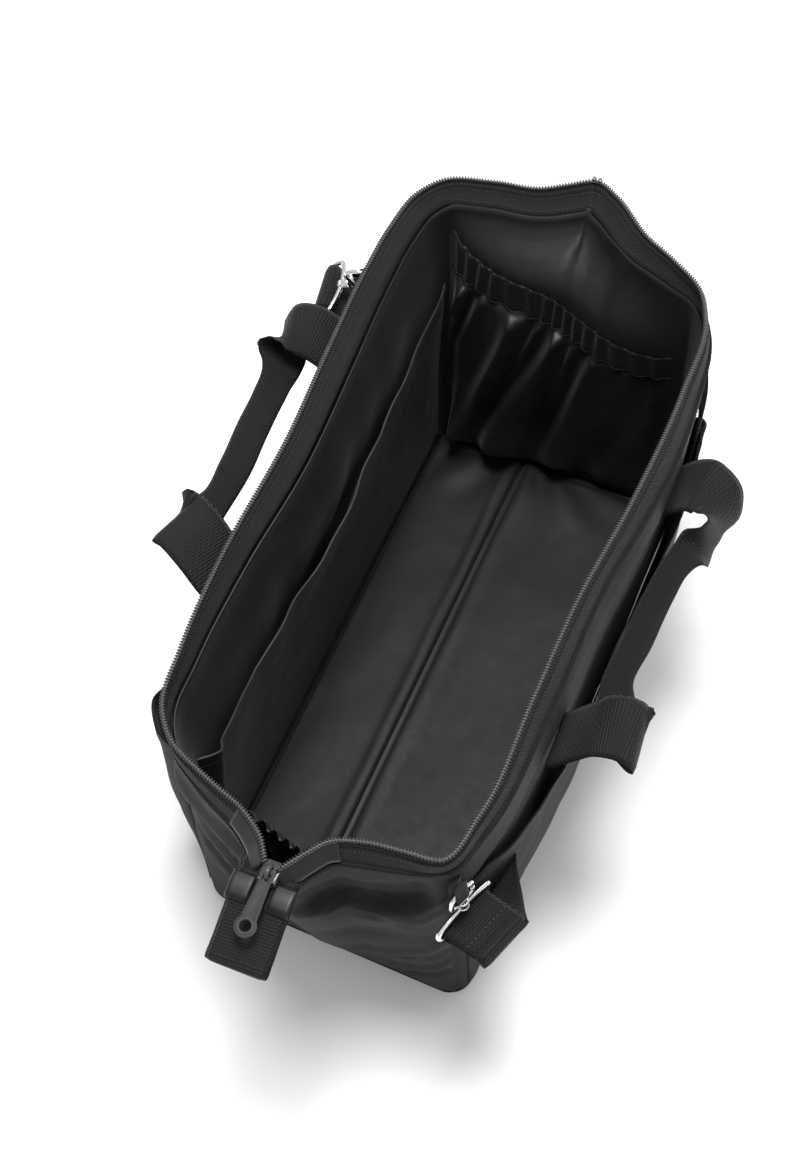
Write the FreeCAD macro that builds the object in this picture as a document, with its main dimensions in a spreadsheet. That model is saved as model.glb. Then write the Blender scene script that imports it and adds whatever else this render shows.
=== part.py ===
"""Soft two-ball bowling bag, zipped along the top and standing open.

Millimetres, +Z up. The origin is the middle of the bottom panel's underside. X runs along
the bag: the zip slider is at the near end (-X). The front long wall is on -Y.
"""
import FreeCAD, Part
import Sketcher
import math
import os

from FreeCAD import Placement, Rotation, Vector

SIZES = [
    # the bag body
    ("body_length", 456, "bottom panel, near end to far end"),
    ("body_width", 212, "bottom panel, front to back"),
    ("seam_height", 264, "top of the walls, where the zip tape is sewn on"),
    ("rim_height", 276, "top of the zip tape, where the coil sits"),
    ("wall_thickness", 2.5, "padded outer cloth"),
    ("lining_gap", 0.8, "between wall and lining"),
    ("lining_thickness", 1, "lining cloth"),
    ("pocket_thickness", 1.2, "single layer pocket cloth"),
    ("corner_radius", 14, "corners of the bottom"),
    # the floor
    ("bottom_thickness", 2.5, "outer bottom panel"),
    ("floor_lining_thickness", 1, "lining under the base board"),
    ("board_thickness", 4, "each cloth covered leaf of the base board"),
    ("board_length", 428, "along X"),
    ("board_front_width", 119, "fixed leaf"),
    ("board_back_width", 68, "lifting leaf"),
    ("board_fold", 25, "Y of the fold between the leaves"),
    ("board_gap", 4, "gap at the fold"),
    # the zip
    ("tape_thickness", 0.8, "woven zip tape"),
    ("coil_width", 2.4, "one row of coil"),
    ("coil_depth", 2.4, "one row of coil, top to bottom"),
    ("slider_length", 14, "along the chain"),
    ("slider_width", 11, "across the chain"),
    ("slider_plate", 1.2, "each plate of the slider"),
    ("slider_gap", 3.2, "between the plates"),
    ("slider_wedge", 3, "post between the plates, square"),
    ("slider_flange", 1.2, "rim along each plate, across"),
    ("flange_depth", 0.9, "rim along each plate, up"),
    ("bail_length", 8.4, "bail on the slider, along the chain"),
    ("bail_width", 3, "across the chain"),
    ("bail_height", 5.1, "above the upper plate"),
    ("eye_length", 5.2, "opening in the bail"),
    ("eye_height", 3.6, "opening in the bail"),
    ("pull_length", 42, "pull tab"),
    ("pull_width", 12, "pull tab"),
    ("pull_thickness", 1.8, "pull tab"),
    ("pull_hole_radius", 3.5, "hole near the free end of the pull tab"),
    ("pull_bar", 1.4, "end of the pull beyond its pivot"),
    ("pull_window_length", 4.4, "opening that takes the bail"),
    ("pull_window_width", 4.6, "opening that takes the bail"),
    # webbing
    ("webbing_width", 40, "zip end tab and shoulder strap"),
    ("handle_webbing", 46, "handles"),
    ("webbing_thickness", 2.2, "one layer"),
    ("handle_spacing", 200, "between the middles of the two legs of a handle"),
    ("handle_reach", 56, "root to the outside of the grip"),
    ("grip_width", 23, "webbing folded in half"),
    ("grip_thickness", 5, "webbing folded in half"),
    ("end_tab_length", 52, "folded tab at the closed end of the zip"),
    ("hook_tab_width", 11, "narrow loop that each strap hook clips to"),
    # strap hooks
    ("ring_length", 50, "along the bar"),
    ("ring_height", 14, "across the slot"),
    ("wire", 3.6, "bar thickness of the ring"),
    ("stem_radius", 1.6, "swivel stem"),
    ("swivel_clearance", 0.08, "radial, stem in barrel"),
    ("barrel_radius", 4, "swivel barrel"),
    ("claw_width", 22, "outside of the claw"),
    ("claw_wire", 3.2, "thickness of the claw"),
    ("pin_radius", 0.6, "gate pin"),
    ("pin_clearance", 0.06, "radial, pin in gate"),
]

doc = FreeCAD.newDocument("bowling_bag")
sheet = doc.addObject("Spreadsheet::Sheet", "Sizes")
for number, (alias, value, meaning) in enumerate(SIZES, 1):
    sheet.set(f"A{number}", alias)
    sheet.set(f"B{number}", str(value))
    sheet.setAlias(f"B{number}", alias)
    sheet.set(f"C{number}", meaning)
doc.recompute()

SUB_PARTS = []


def size(alias):
    return float(sheet.get(alias))


def keep(thing, label, placement=None):
    """Names a sub-part, which gives its file name, and puts it in place."""
    thing.Label = label
    if placement is not None:
        thing.Placement = placement
    SUB_PARTS.append(thing)
    return thing


def blend_points(a, b, share):
    return a + (b - a) * share


# ---------------------------------------------------------------- cloth

def closed_sheet(inner, outer):
    """Closed solid between two grids of points, whose rows run from the foot to the top."""
    rows = len(inner)
    columns = len(inner[0])
    faces = []

    def quad(a, b, c, d):
        for corners in ((a, b, c), (a, c, d)):
            faces.append(Part.Face(Part.makePolygon([*corners, corners[0]])))

    for r in range(rows - 1):
        for c in range(columns - 1):
            quad(outer[r][c], outer[r][c + 1], outer[r + 1][c + 1], outer[r + 1][c])
            quad(inner[r][c], inner[r + 1][c], inner[r + 1][c + 1], inner[r][c + 1])
    for c in range(columns - 1):
        quad(inner[0][c], inner[0][c + 1], outer[0][c + 1], outer[0][c])
        quad(inner[-1][c], outer[-1][c], outer[-1][c + 1], inner[-1][c + 1])
    for r in range(rows - 1):
        quad(inner[r][0], outer[r][0], outer[r + 1][0], inner[r + 1][0])
        quad(inner[r][-1], inner[r + 1][-1], outer[r + 1][-1], outer[r][-1])
    shell = Part.makeShell(faces)
    shell.sewShape()
    solid = Part.makeSolid(shell)
    if solid.Volume < 0:
        solid.reverse()
    return solid


def cloth(label, inner, outer):
    thing = doc.addObject("Part::Feature", label)
    thing.Shape = closed_sheet(inner, outer)
    return keep(thing, label)


HALF_LENGTH = size("body_length") / 2
HALF_WIDTH = size("body_width") / 2
FLOOR_TOP = size("bottom_thickness")
SEAM = size("seam_height")

# Corners of the walls at the floor, then outlines of the mouth. The mouth is pulled out to a
# point at each end, where the two halves of the zip come together.
FOOT = {
    "front": (Vector(-HALF_LENGTH, -HALF_WIDTH + 4, 0), Vector(HALF_LENGTH - 8, -HALF_WIDTH, 0)),
    "far": (Vector(HALF_LENGTH - 8, -HALF_WIDTH, 0), Vector(HALF_LENGTH, HALF_WIDTH - 2, 0)),
    "back": (Vector(HALF_LENGTH, HALF_WIDTH - 2, 0), Vector(-HALF_LENGTH + 8, HALF_WIDTH + 2, 0)),
    "near": (Vector(-HALF_LENGTH + 8, HALF_WIDTH + 2, 0), Vector(-HALF_LENGTH, -HALF_WIDTH + 4, 0)),
}
NEAR_FRONT = Vector(-HALF_LENGTH - 8, -HALF_WIDTH - 2, 0)
FAR_FRONT = Vector(HALF_LENGTH - 20, -HALF_WIDTH - 10, 0)
FAR_BACK = Vector(HALF_LENGTH - 2, HALF_WIDTH - 12, 0)
NEAR_BACK = Vector(-HALF_LENGTH + 16, HALF_WIDTH - 18, 0)
NEAR_POINT = Vector(-HALF_LENGTH - 57, -12, 0)
FAR_POINT = Vector(HALF_LENGTH + 42, -8, 0)
SEAM_LINE = {
    "front": [NEAR_FRONT, Vector(-120, -124, 0), Vector(0, -131, 0), Vector(120, -134, 0), FAR_FRONT],
    "far": [FAR_FRONT, Vector(232, -66, 0), FAR_POINT, Vector(246, 52, 0), FAR_BACK],
    "back": [FAR_BACK, Vector(120, 97, 0), Vector(0, 91, 0), Vector(-110, 90, 0), NEAR_BACK],
    "near": [NEAR_BACK, Vector(-250, 40, 0), NEAR_POINT, Vector(-251, -66, 0), NEAR_FRONT],
}
COIL_NEAR_FRONT = Vector(-240, -104, 0)
COIL_FAR_FRONT = Vector(214, -115, 0)
COIL_FAR_BACK = Vector(240, 112, 0)
COIL_NEAR_BACK = Vector(-214, 95, 0)
COIL_NEAR_POINT = Vector(-276, -12, 0)
COIL_FAR_POINT = Vector(288, -9, 0)
COIL_LINE = {
    "front": [COIL_NEAR_FRONT, Vector(-120, -116, 0), Vector(0, -121, 0), Vector(120, -126, 0),
              COIL_FAR_FRONT],
    "far": [COIL_FAR_FRONT, Vector(246, -66, 0), COIL_FAR_POINT, Vector(266, 45, 0), COIL_FAR_BACK],
    "back": [COIL_FAR_BACK, Vector(120, 114, 0), Vector(0, 107, 0), Vector(-110, 107, 0),
             COIL_NEAR_BACK],
    "near": [COIL_NEAR_BACK, Vector(-244, 36, 0), COIL_NEAR_POINT, Vector(-246, -58, 0),
             COIL_NEAR_FRONT],
}
OUTWARD = {"front": Vector(0, -1, 0), "far": Vector(1, 0, 0),
           "back": Vector(0, 1, 0), "near": Vector(-1, 0, 0)}
BULGE = {"front": 6, "far": 4, "back": 14, "near": 5}


def along(line, share):
    """Point on a line of evenly counted points, share 0 at its start and 1 at its end."""
    place = share * (len(line) - 1)
    first = min(int(place), len(line) - 2)
    return blend_points(line[first], line[first + 1], place - first)


def wall_point(wall, share, height, outward=0.0):
    """Point on a wall's outer face, moved outward by a distance."""
    rise = (height - FLOOR_TOP) / (SEAM - FLOOR_TOP)
    foot = blend_points(*FOOT[wall], share)
    point = blend_points(foot, along(SEAM_LINE[wall], share), rise)
    swell = BULGE[wall] * 4 * rise * (1 - rise) * math.sin(math.pi * share)
    point = point + OUTWARD[wall] * (swell + outward)
    return Vector(point.x, point.y, height)


def wall_grid(wall, shares, levels, outward):
    """Rows of points over a wall. levels holds one function of share, to height, for each row."""
    return [[wall_point(wall, share, level(share), outward(share, number))
             for share in shares] for number, level in enumerate(levels)]


def fixed(value):
    return lambda *ignored: value


PANEL_HEIGHTS = [FLOOR_TOP, 60, 130, 200, SEAM]


def panel(label, wall, first, last, outward, thickness):
    """A wall or lining panel between two shares of its wall."""
    shares = [first + (last - first) * step / 8 for step in range(9)]
    levels = [fixed(height) for height in PANEL_HEIGHTS]
    outer = wall_grid(wall, shares, levels, fixed(outward))
    inner = wall_grid(wall, shares, levels, fixed(outward - thickness))
    cloth(label, inner, outer)


for wall, name, trim in (("front", "front_wall", 0), ("back", "back_wall", 0),
                         ("near", "near_end_wall", 0.015), ("far", "far_end_wall", 0.015)):
    panel(name, wall, trim, 1 - trim, 0, size("wall_thickness"))

LINING_OUTWARD = -size("wall_thickness") - size("lining_gap")
for wall, name, trim in (("front", "front_lining", 0.02), ("back", "back_lining", 0.02),
                         ("near", "near_end_lining", 0.06), ("far", "far_end_lining", 0.06)):
    panel(name, wall, trim, 1 - trim, LINING_OUTWARD, size("lining_thickness"))


# ---------------------------------------------------------------- pockets

def pocket(label, wall, stations, foot, thickness, side):
    """Open topped pocket. Each station is (share of wall, mouth height, gap to the wall).

    side is 1 on the outside of the wall and -1 on the inside, where the gap starts at the lining.
    """
    lining = -LINING_OUTWARD + size("lining_thickness") if side < 0 else 0
    shares = [share for share, mouth, gap in stations]
    mouths = {share: mouth for share, mouth, gap in stations}
    gaps = {share: gap for share, mouth, gap in stations}
    swell = (0.15, 0.75, 1, 1)
    levels = [lambda share, part=part: foot + (mouths[share] - foot) * part
              for part in (0, 0.3, 0.7, 1)]

    def face(depth):
        return wall_grid(wall, shares, levels, lambda share, number:
                         side * (lining + 0.4 + gaps[share] * swell[number] + depth))

    cloth(label, face(0), face(thickness)) if side > 0 else cloth(label, face(thickness), face(0))


pocket("front_pocket", "front",
       [(0.02, 232, 0), (0.06, 219, 6), (0.13, 202, 8), (0.25, 184, 9), (0.5, 188, 9),
        (0.75, 200, 9), (0.86, 200, 9), (0.92, 170, 7), (0.965, 148, 0)],
       6, size("pocket_thickness"), 1)
pocket("back_pocket", "back",
       [(0.03, 215, 0), (0.1, 200, 10), (0.3, 172, 13), (0.5, 172, 13), (0.72, 172, 14),
        (0.86, 196, 20), (0.93, 210, 14), (0.975, 215, 0)],
       6, size("pocket_thickness"), 1)
pocket("inner_slip_pocket", "back",
       [(0.03, 195, 0), (0.1, 192, 8), (0.3, 190, 22), (0.5, 188, 26), (0.7, 190, 22),
        (0.9, 194, 8), (0.96, 196, 0)],
       12, size("pocket_thickness"), -1)
ELASTIC_MOUTH = 206
pocket("far_elastic_pocket", "far",
       [(0.09, ELASTIC_MOUTH, 0), (0.2, ELASTIC_MOUTH, 10), (0.5, ELASTIC_MOUTH, 22),
        (0.75, ELASTIC_MOUTH, 10), (0.87, ELASTIC_MOUTH, 0)],
       12, size("pocket_thickness"), -1)
pocket("near_elastic_pocket", "near",
       [(0.13, ELASTIC_MOUTH - 20, 0), (0.25, ELASTIC_MOUTH - 20, 10), (0.5, ELASTIC_MOUTH - 20, 22),
        (0.8, ELASTIC_MOUTH - 20, 10), (0.91, ELASTIC_MOUTH - 20, 0)],
       12, size("pocket_thickness"), -1)


def elastic(label, wall, mouth, stations):
    """Flat elastic sewn along the top edge of a gathered pocket."""
    lining = -LINING_OUTWARD + size("lining_thickness")
    shares = [share for share, gap in stations]
    gaps = dict(stations)
    levels = [fixed(mouth + 0.3), fixed(mouth + 7)]

    def face(depth):
        return wall_grid(wall, shares, levels,
                         lambda share, number: -(lining + 0.4 + gaps[share] + depth))

    cloth(label, face(size("pocket_thickness")), face(0))


elastic("far_pocket_elastic", "far", ELASTIC_MOUTH,
        [(0.09, 0), (0.2, 10), (0.5, 22), (0.75, 10), (0.87, 0)])
elastic("near_pocket_elastic", "near", ELASTIC_MOUTH - 20,
        [(0.13, 0), (0.25, 10), (0.5, 22), (0.8, 10), (0.91, 0)])


# ---------------------------------------------------------------- zip

def sideways(line, distance):
    """The line moved to its left by a distance, seen from above."""
    moved = []
    for number, point in enumerate(line):
        before = line[max(number - 1, 0)]
        after = line[min(number + 1, len(line) - 1)]
        travel = after - before
        travel.normalize()
        moved.append(point + Vector(-travel.y, travel.x, 0) * distance)
    return moved


def at_height(line, height):
    return [Vector(point.x, point.y, height) for point in line]


def half_rim(lines, order, start_share, end_share):
    """The rim from the slider to the far point, along one side of the mouth."""
    first, middle, last = order
    line = [blend_points(lines[first][2], lines[first][3], start_share)]
    line += lines[first][3:4] + lines[middle]
    line += lines[last][1:2]
    line.append(blend_points(lines[last][2], lines[last][1], end_share))
    return line


def turned(lines):
    """The same outlines, each walked the other way round."""
    return {wall: line[::-1] for wall, line in lines.items()}


# How far each half of the zip ends from the slider and from the top stops, as shares of a span.
SLIDER_CLEARANCE = 0.15
STOP_CLEARANCE = 0.1


def zip_half(name, seam_lines, coil_lines, order, inside):
    seam = half_rim(seam_lines, order, SLIDER_CLEARANCE, STOP_CLEARANCE)
    coil = half_rim(coil_lines, order, SLIDER_CLEARANCE, STOP_CLEARANCE)
    rim = size("rim_height")
    lean = inside * size("tape_thickness")
    outer = [at_height(seam, SEAM), at_height(coil, rim)]
    inner = [at_height(sideways(seam, lean), SEAM), at_height(sideways(coil, lean), rim)]
    if inside < 0:
        inner, outer = outer, inner
    cloth(f"{name}_zip_tape", inner, outer)
    middle = sideways(coil, lean / 2)
    half = size("coil_width") / 2
    heights = (rim + 0.2, rim + 0.2 + size("coil_depth"))
    cloth(f"{name}_zip_coil",
          [at_height(sideways(middle, half), height) for height in heights],
          [at_height(sideways(middle, -half), height) for height in heights])


zip_half("front", SEAM_LINE, COIL_LINE, ("near", "front", "far"), 1)
zip_half("back", turned(SEAM_LINE), turned(COIL_LINE), ("near", "back", "far"), -1)


# ---------------------------------------------------------------- helpers for made shapes

def centred_rectangle(body, name, plane, width, depth, mid_x="0", mid_y="0", level="0"):
    """Rectangle about its own middle. Its sides and its place are bound to the sheet."""
    sketch = body.newObject("Sketcher::SketchObject", name)
    support = next(f for f in body.Origin.OriginFeatures if f.Role == plane)
    sketch.AttachmentSupport = [(support, "")]
    sketch.MapMode = "FlatFace"
    corners = [Vector(-5, -3, 0), Vector(5, -3, 0), Vector(5, 3, 0), Vector(-5, 3, 0)]
    sketch.addGeometry([Part.LineSegment(corners[i], corners[(i + 1) % 4]) for i in range(4)])
    for i in range(4):
        sketch.addConstraint(Sketcher.Constraint("Coincident", i, 2, (i + 1) % 4, 1))
    for line, direction in enumerate(("Horizontal", "Vertical", "Horizontal", "Vertical")):
        sketch.addConstraint(Sketcher.Constraint(direction, line))
    sketch.addConstraint(Sketcher.Constraint("Symmetric", 0, 1, 2, 1, -1, 1))
    sides = (("width", "DistanceX", 0, 10.0, width), ("depth", "DistanceY", 1, 6.0, depth))
    for side, kind, line, start, rule in sides:
        index = sketch.addConstraint(Sketcher.Constraint(kind, line, 1, line, 2, start))
        sketch.renameConstraint(index, side)
        sketch.setExpression(f"Constraints.{side}", rule)
    sketch.setExpression(".AttachmentOffset.Base.x", mid_x)
    sketch.setExpression(".AttachmentOffset.Base.y", mid_y)
    sketch.setExpression(".AttachmentOffset.Base.z", level)
    return sketch


def centred_circle(body, name, plane, radius, mid_x="0", mid_y="0"):
    sketch = body.newObject("Sketcher::SketchObject", name)
    support = next(f for f in body.Origin.OriginFeatures if f.Role == plane)
    sketch.AttachmentSupport = [(support, "")]
    sketch.MapMode = "FlatFace"
    sketch.addGeometry(Part.Circle(Vector(0, 0, 0), Vector(0, 0, 1), 2))
    sketch.addConstraint(Sketcher.Constraint("Coincident", 0, 3, -1, 1))
    index = sketch.addConstraint(Sketcher.Constraint("Radius", 0, 2))
    sketch.renameConstraint(index, "radius")
    sketch.setExpression("Constraints.radius", radius)
    sketch.setExpression(".AttachmentOffset.Base.x", mid_x)
    sketch.setExpression(".AttachmentOffset.Base.y", mid_y)
    return sketch


def pad(body, name, sketch, length, symmetric=False):
    feature = body.newObject("PartDesign::Pad", name)
    feature.Profile = sketch
    feature.setExpression("Length", length)
    if symmetric:
        feature.SideType = "Symmetric"
    doc.recompute()
    return feature


def cut_through(body, name, sketch, length=None):
    """Pocket both ways from its sketch: through everything, or a length in all."""
    before = body.Shape.Volume
    feature = body.newObject("PartDesign::Pocket", name)
    feature.Profile = sketch
    feature.SideType = "Symmetric"
    if length is None:
        feature.Type = "ThroughAll"
    else:
        feature.setExpression("Length", length)
    doc.recompute()
    if body.Shape.Volume >= before:
        raise RuntimeError(f"{name} removed nothing from {body.Label}")
    return feature


def round_edges(body, name, base, radius, direction, wanted=None):
    """Fillets the edges of base that run along a direction."""
    names = []
    for number, edge in enumerate(base.Shape.Edges, 1):
        straight = isinstance(edge.Curve, Part.Line)
        if straight and abs(edge.Curve.Direction.dot(direction)) > 0.99:
            if wanted is None or wanted(edge.CenterOfMass):
                names.append(f"Edge{number}")
    feature = body.newObject("PartDesign::Fillet", name)
    feature.Base = (base, names)
    feature.setExpression("Radius", radius)
    doc.recompute()
    return feature


UP = Vector(0, 0, 1)


def flat_plate(label, width, depth, thickness, radius, placement=None, **place):
    """Plate with round corners, lying flat, its underside at the plane of its sketch."""
    body = doc.addObject("PartDesign::Body", label)
    outline = centred_rectangle(body, label + "_outline", "XY_Plane", width, depth, **place)
    plate = pad(body, label + "_plate", outline, thickness)
    round_edges(body, label + "_corners", plate, radius, UP)
    keep(body, label, placement)
    return body


def box(name, length, width, height, x, y, z):
    """Box whose sizes and corner are bound to the sheet."""
    thing = doc.addObject("Part::Box", name)
    for side, rule in (("Length", length), ("Width", width), ("Height", height),
                       (".Placement.Base.x", x), (".Placement.Base.y", y),
                       (".Placement.Base.z", z)):
        thing.setExpression(side, rule)
    return thing


def cylinder(name, radius, height, x="0", y="0", z="0", axis=UP):
    thing = doc.addObject("Part::Cylinder", name)
    thing.Placement = Placement(Vector(0, 0, 0), Rotation(UP, axis))
    for side, rule in (("Radius", radius), ("Height", height), (".Placement.Base.x", x),
                       (".Placement.Base.y", y), (".Placement.Base.z", z)):
        thing.setExpression(side, rule)
    return thing


def grouped(name, *shapes):
    """The shapes as one thing with a placement of its own."""
    thing = doc.addObject("Part::Compound", name)
    thing.Links = list(shapes)
    return thing


def joined(name, *shapes):
    thing = doc.addObject("Part::MultiFuse", name)
    thing.Shapes = list(shapes)
    thing.Refine = True
    return thing


def cut(name, base, tool):
    thing = doc.addObject("Part::Cut", name)
    thing.Base = base
    thing.Tool = tool
    return thing


# ---------------------------------------------------------------- floor

flat_plate("bottom_panel", "Sizes.body_length", "Sizes.body_width", "Sizes.bottom_thickness",
           "Sizes.corner_radius")
flat_plate("floor_lining", "Sizes.body_length - 28", "Sizes.body_width - 20",
           "Sizes.floor_lining_thickness", "Sizes.corner_radius",
           level="Sizes.bottom_thickness + 0.2")
BOARD_LEVEL = "Sizes.bottom_thickness + Sizes.floor_lining_thickness + 0.6"
flat_plate("base_board_front", "Sizes.board_length", "Sizes.board_front_width",
           "Sizes.board_thickness", "Sizes.corner_radius / 3", level=BOARD_LEVEL,
           mid_y="Sizes.board_fold - Sizes.board_gap / 2 - Sizes.board_front_width / 2")
flat_plate("base_board_back", "Sizes.board_length", "Sizes.board_back_width",
           "Sizes.board_thickness", "Sizes.corner_radius / 3", level=BOARD_LEVEL,
           mid_y="Sizes.board_fold + Sizes.board_gap / 2 + Sizes.board_back_width / 2")


# ---------------------------------------------------------------- zip slider, pull and end tab

SLIDER = Vector(-281, -12, 270)


def slider():
    """Two plates, a wedge between them at the open mouth, and a bail that holds the pull."""
    top = "Sizes.slider_plate + Sizes.slider_gap"
    half = "-Sizes.slider_length / 2"
    edge = "-Sizes.slider_width / 2"
    parts = [
        box("slider_lower", "Sizes.slider_length", "Sizes.slider_width", "Sizes.slider_plate",
            half, edge, "0"),
        box("slider_upper", "Sizes.slider_length", "Sizes.slider_width", "Sizes.slider_plate",
            half, edge, top),
        box("slider_wedge", "Sizes.slider_wedge", "Sizes.slider_wedge", "Sizes.slider_gap",
            "Sizes.slider_length / 2 - Sizes.slider_wedge", "-Sizes.slider_wedge / 2",
            "Sizes.slider_plate"),
    ]
    far_edge = "Sizes.slider_width / 2 - Sizes.slider_flange"
    for number, y in enumerate((edge, far_edge)):
        for level, z in enumerate(("Sizes.slider_plate", top + " - Sizes.flange_depth")):
            parts.append(box(f"slider_flange_{number}{level}", "Sizes.slider_length - 4",
                             "Sizes.slider_flange", "Sizes.flange_depth", half, y, z))
    crown = top + " + Sizes.slider_plate"
    bail = box("slider_bail", "Sizes.bail_length", "Sizes.bail_width", "Sizes.bail_height",
               "-1 - Sizes.bail_length / 2", "-Sizes.bail_width / 2", crown)
    eye = box("slider_eye", "Sizes.eye_length", "Sizes.bail_width + 1", "Sizes.eye_height",
              "-0.9 - Sizes.eye_length / 2", "-Sizes.bail_width / 2 - 0.5", crown)
    parts.append(cut("slider_bail_open", bail, eye))
    keep(joined("slider_body", *parts), "zip_slider", Placement(SLIDER, Rotation()))


slider()

# The pull's bar sits in the bail, and the pull slopes down onto the webbing tab.
PULL_PIVOT = SLIDER + Vector(-1.6, 0, 7.4)
PULL_SLOPE = 8


def pull_tab():
    """Frame round the bail at one end, round hole at the other. It lies along -X."""
    body = doc.addObject("PartDesign::Body", "pull_tab_body")
    outline = centred_rectangle(body, "pull_outline", "XY_Plane", "Sizes.pull_length",
                                "Sizes.pull_width",
                                mid_x="Sizes.pull_bar - Sizes.pull_length / 2")
    plate = pad(body, "pull_plate", outline, "Sizes.pull_thickness", symmetric=True)
    round_edges(body, "pull_ends", plate, "Sizes.pull_width / 2.6", UP)
    window = centred_rectangle(body, "pull_window", "XY_Plane", "Sizes.pull_window_length",
                               "Sizes.pull_window_width", mid_x="-3")
    cut_through(body, "pull_window_cut", window)
    hole = centred_circle(body, "pull_hole", "XY_Plane", "Sizes.pull_hole_radius",
                          mid_x="Sizes.pull_bar - Sizes.pull_length + 6.5")
    cut_through(body, "pull_hole_cut", hole)
    keep(body, "pull_tab", Placement(PULL_PIVOT, Rotation(Vector(0, 1, 0), -PULL_SLOPE)))


pull_tab()


CHAIN_REACH = 15


def closed_chain():
    """The last closed stretch of the zip, which the slider runs on, with its tape and its stop."""
    length = f"{CHAIN_REACH + 3}"
    start = f"-{CHAIN_REACH}"
    chain = box("chain_teeth", length, "2 * Sizes.coil_width", "2.2", start, "-Sizes.coil_width",
                "Sizes.slider_plate + 0.2")
    tape = box("chain_tape", length, "10 * Sizes.coil_width", "0.6", start,
               "-5 * Sizes.coil_width", "Sizes.slider_plate + 1")
    keep(joined("closed_chain_shape", chain, tape), "zip_closed_end",
         Placement(SLIDER, Rotation()))
    clamp = box("bottom_stop_clamp", "2.5", "5", "2.2", f"{start} - 2.7", "-2.5",
                "Sizes.slider_plate - 0.1")
    keep(grouped("bottom_stop_group", clamp), "zip_bottom_stop", Placement(SLIDER, Rotation()))


closed_chain()


def top_stops():
    """One clamped stop at the free end of each coil, at the far point of the mouth."""
    gap = 0.6
    width = 3
    stops = [box(f"top_stop_{number}", "Sizes.coil_width + 1", f"{width}", "Sizes.coil_depth + 1",
                 "-1.6", f"{y}", "-0.4")
             for number, y in enumerate((-gap - width, gap))]
    rim = Vector(0, 0, size("rim_height"))
    keep(grouped("top_stop_pair", *stops), "zip_top_stops",
         Placement(COIL_FAR_POINT + rim, Rotation()))


top_stops()

END_TAB_SLOPE = 12
END_TAB = Placement(Vector(-286, -10, 264), Rotation(Vector(0, 1, 0), -END_TAB_SLOPE))


def zip_end_tab():
    """Webbing folded in half over the closed end of the zip."""
    body = doc.addObject("PartDesign::Body", "zip_end_tab_body")
    outline = centred_rectangle(body, "end_tab_outline", "XY_Plane", "Sizes.end_tab_length",
                                "Sizes.webbing_width", mid_x="-Sizes.end_tab_length / 2")
    plate = pad(body, "end_tab_plate", outline, "Sizes.webbing_thickness * 2", symmetric=True)
    round_edges(body, "end_tab_fold", plate, "Sizes.webbing_thickness * 0.95",
                Vector(0, 1, 0), lambda middle: middle.x < -10)
    keep(body, "zip_end_tab", END_TAB)


zip_end_tab()
END_COVER = box("end_cover", "12", "Sizes.webbing_width + 4", "1.2", "-14",
                "-Sizes.webbing_width / 2 - 2", "Sizes.webbing_thickness + 0.1")
keep(grouped("end_cover_group", END_COVER), "zip_end_cover", END_TAB)


# ---------------------------------------------------------------- handles

def handle(label, placement):
    """Webbing loop: two flat legs, and a grip where the webbing is folded in half."""
    body = doc.addObject("PartDesign::Body", label + "_body")
    span = "Sizes.handle_spacing + Sizes.handle_webbing"
    outline = centred_rectangle(body, label + "_outline", "XY_Plane", span, "Sizes.handle_reach",
                                mid_y="-Sizes.handle_reach / 2")
    flat = pad(body, label + "_flat", outline, "Sizes.webbing_thickness", symmetric=True)
    round_edges(body, label + "_corners", flat, "Sizes.handle_webbing / 3", UP,
                lambda middle: middle.y < -10)
    window = centred_rectangle(body, label + "_window", "XY_Plane",
                               "Sizes.handle_spacing - Sizes.handle_webbing",
                               "Sizes.handle_reach - Sizes.grip_width",
                               mid_y="-(Sizes.handle_reach - Sizes.grip_width) / 2")
    cut_through(body, label + "_window_cut", window)
    grip = centred_rectangle(body, label + "_grip", "XY_Plane", "Sizes.handle_spacing - 30",
                             "Sizes.grip_width",
                             mid_y="-Sizes.handle_reach + Sizes.grip_width / 2")
    fold = pad(body, label + "_fold", grip, "Sizes.grip_thickness", symmetric=True)
    round_edges(body, label + "_grip_edges", fold, "Sizes.grip_thickness / 5", Vector(1, 0, 0),
                lambda middle: abs(middle.z) > 2)
    keep(body, label, placement)


FRONT_HANDLE_ROOT = Vector(-8, -132.5, 215)
BACK_HANDLE_ROOT = Vector(10, 106, 224)
handle("front_handle", Placement(FRONT_HANDLE_ROOT, Rotation(Vector(1, 0, 0), -30)))
handle("back_handle", Placement(BACK_HANDLE_ROOT, Rotation(Vector(1, 0, 0), 36))
       .multiply(Placement(Vector(0, 0, 0), Rotation(UP, 180))))


# ---------------------------------------------------------------- strap hooks

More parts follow.
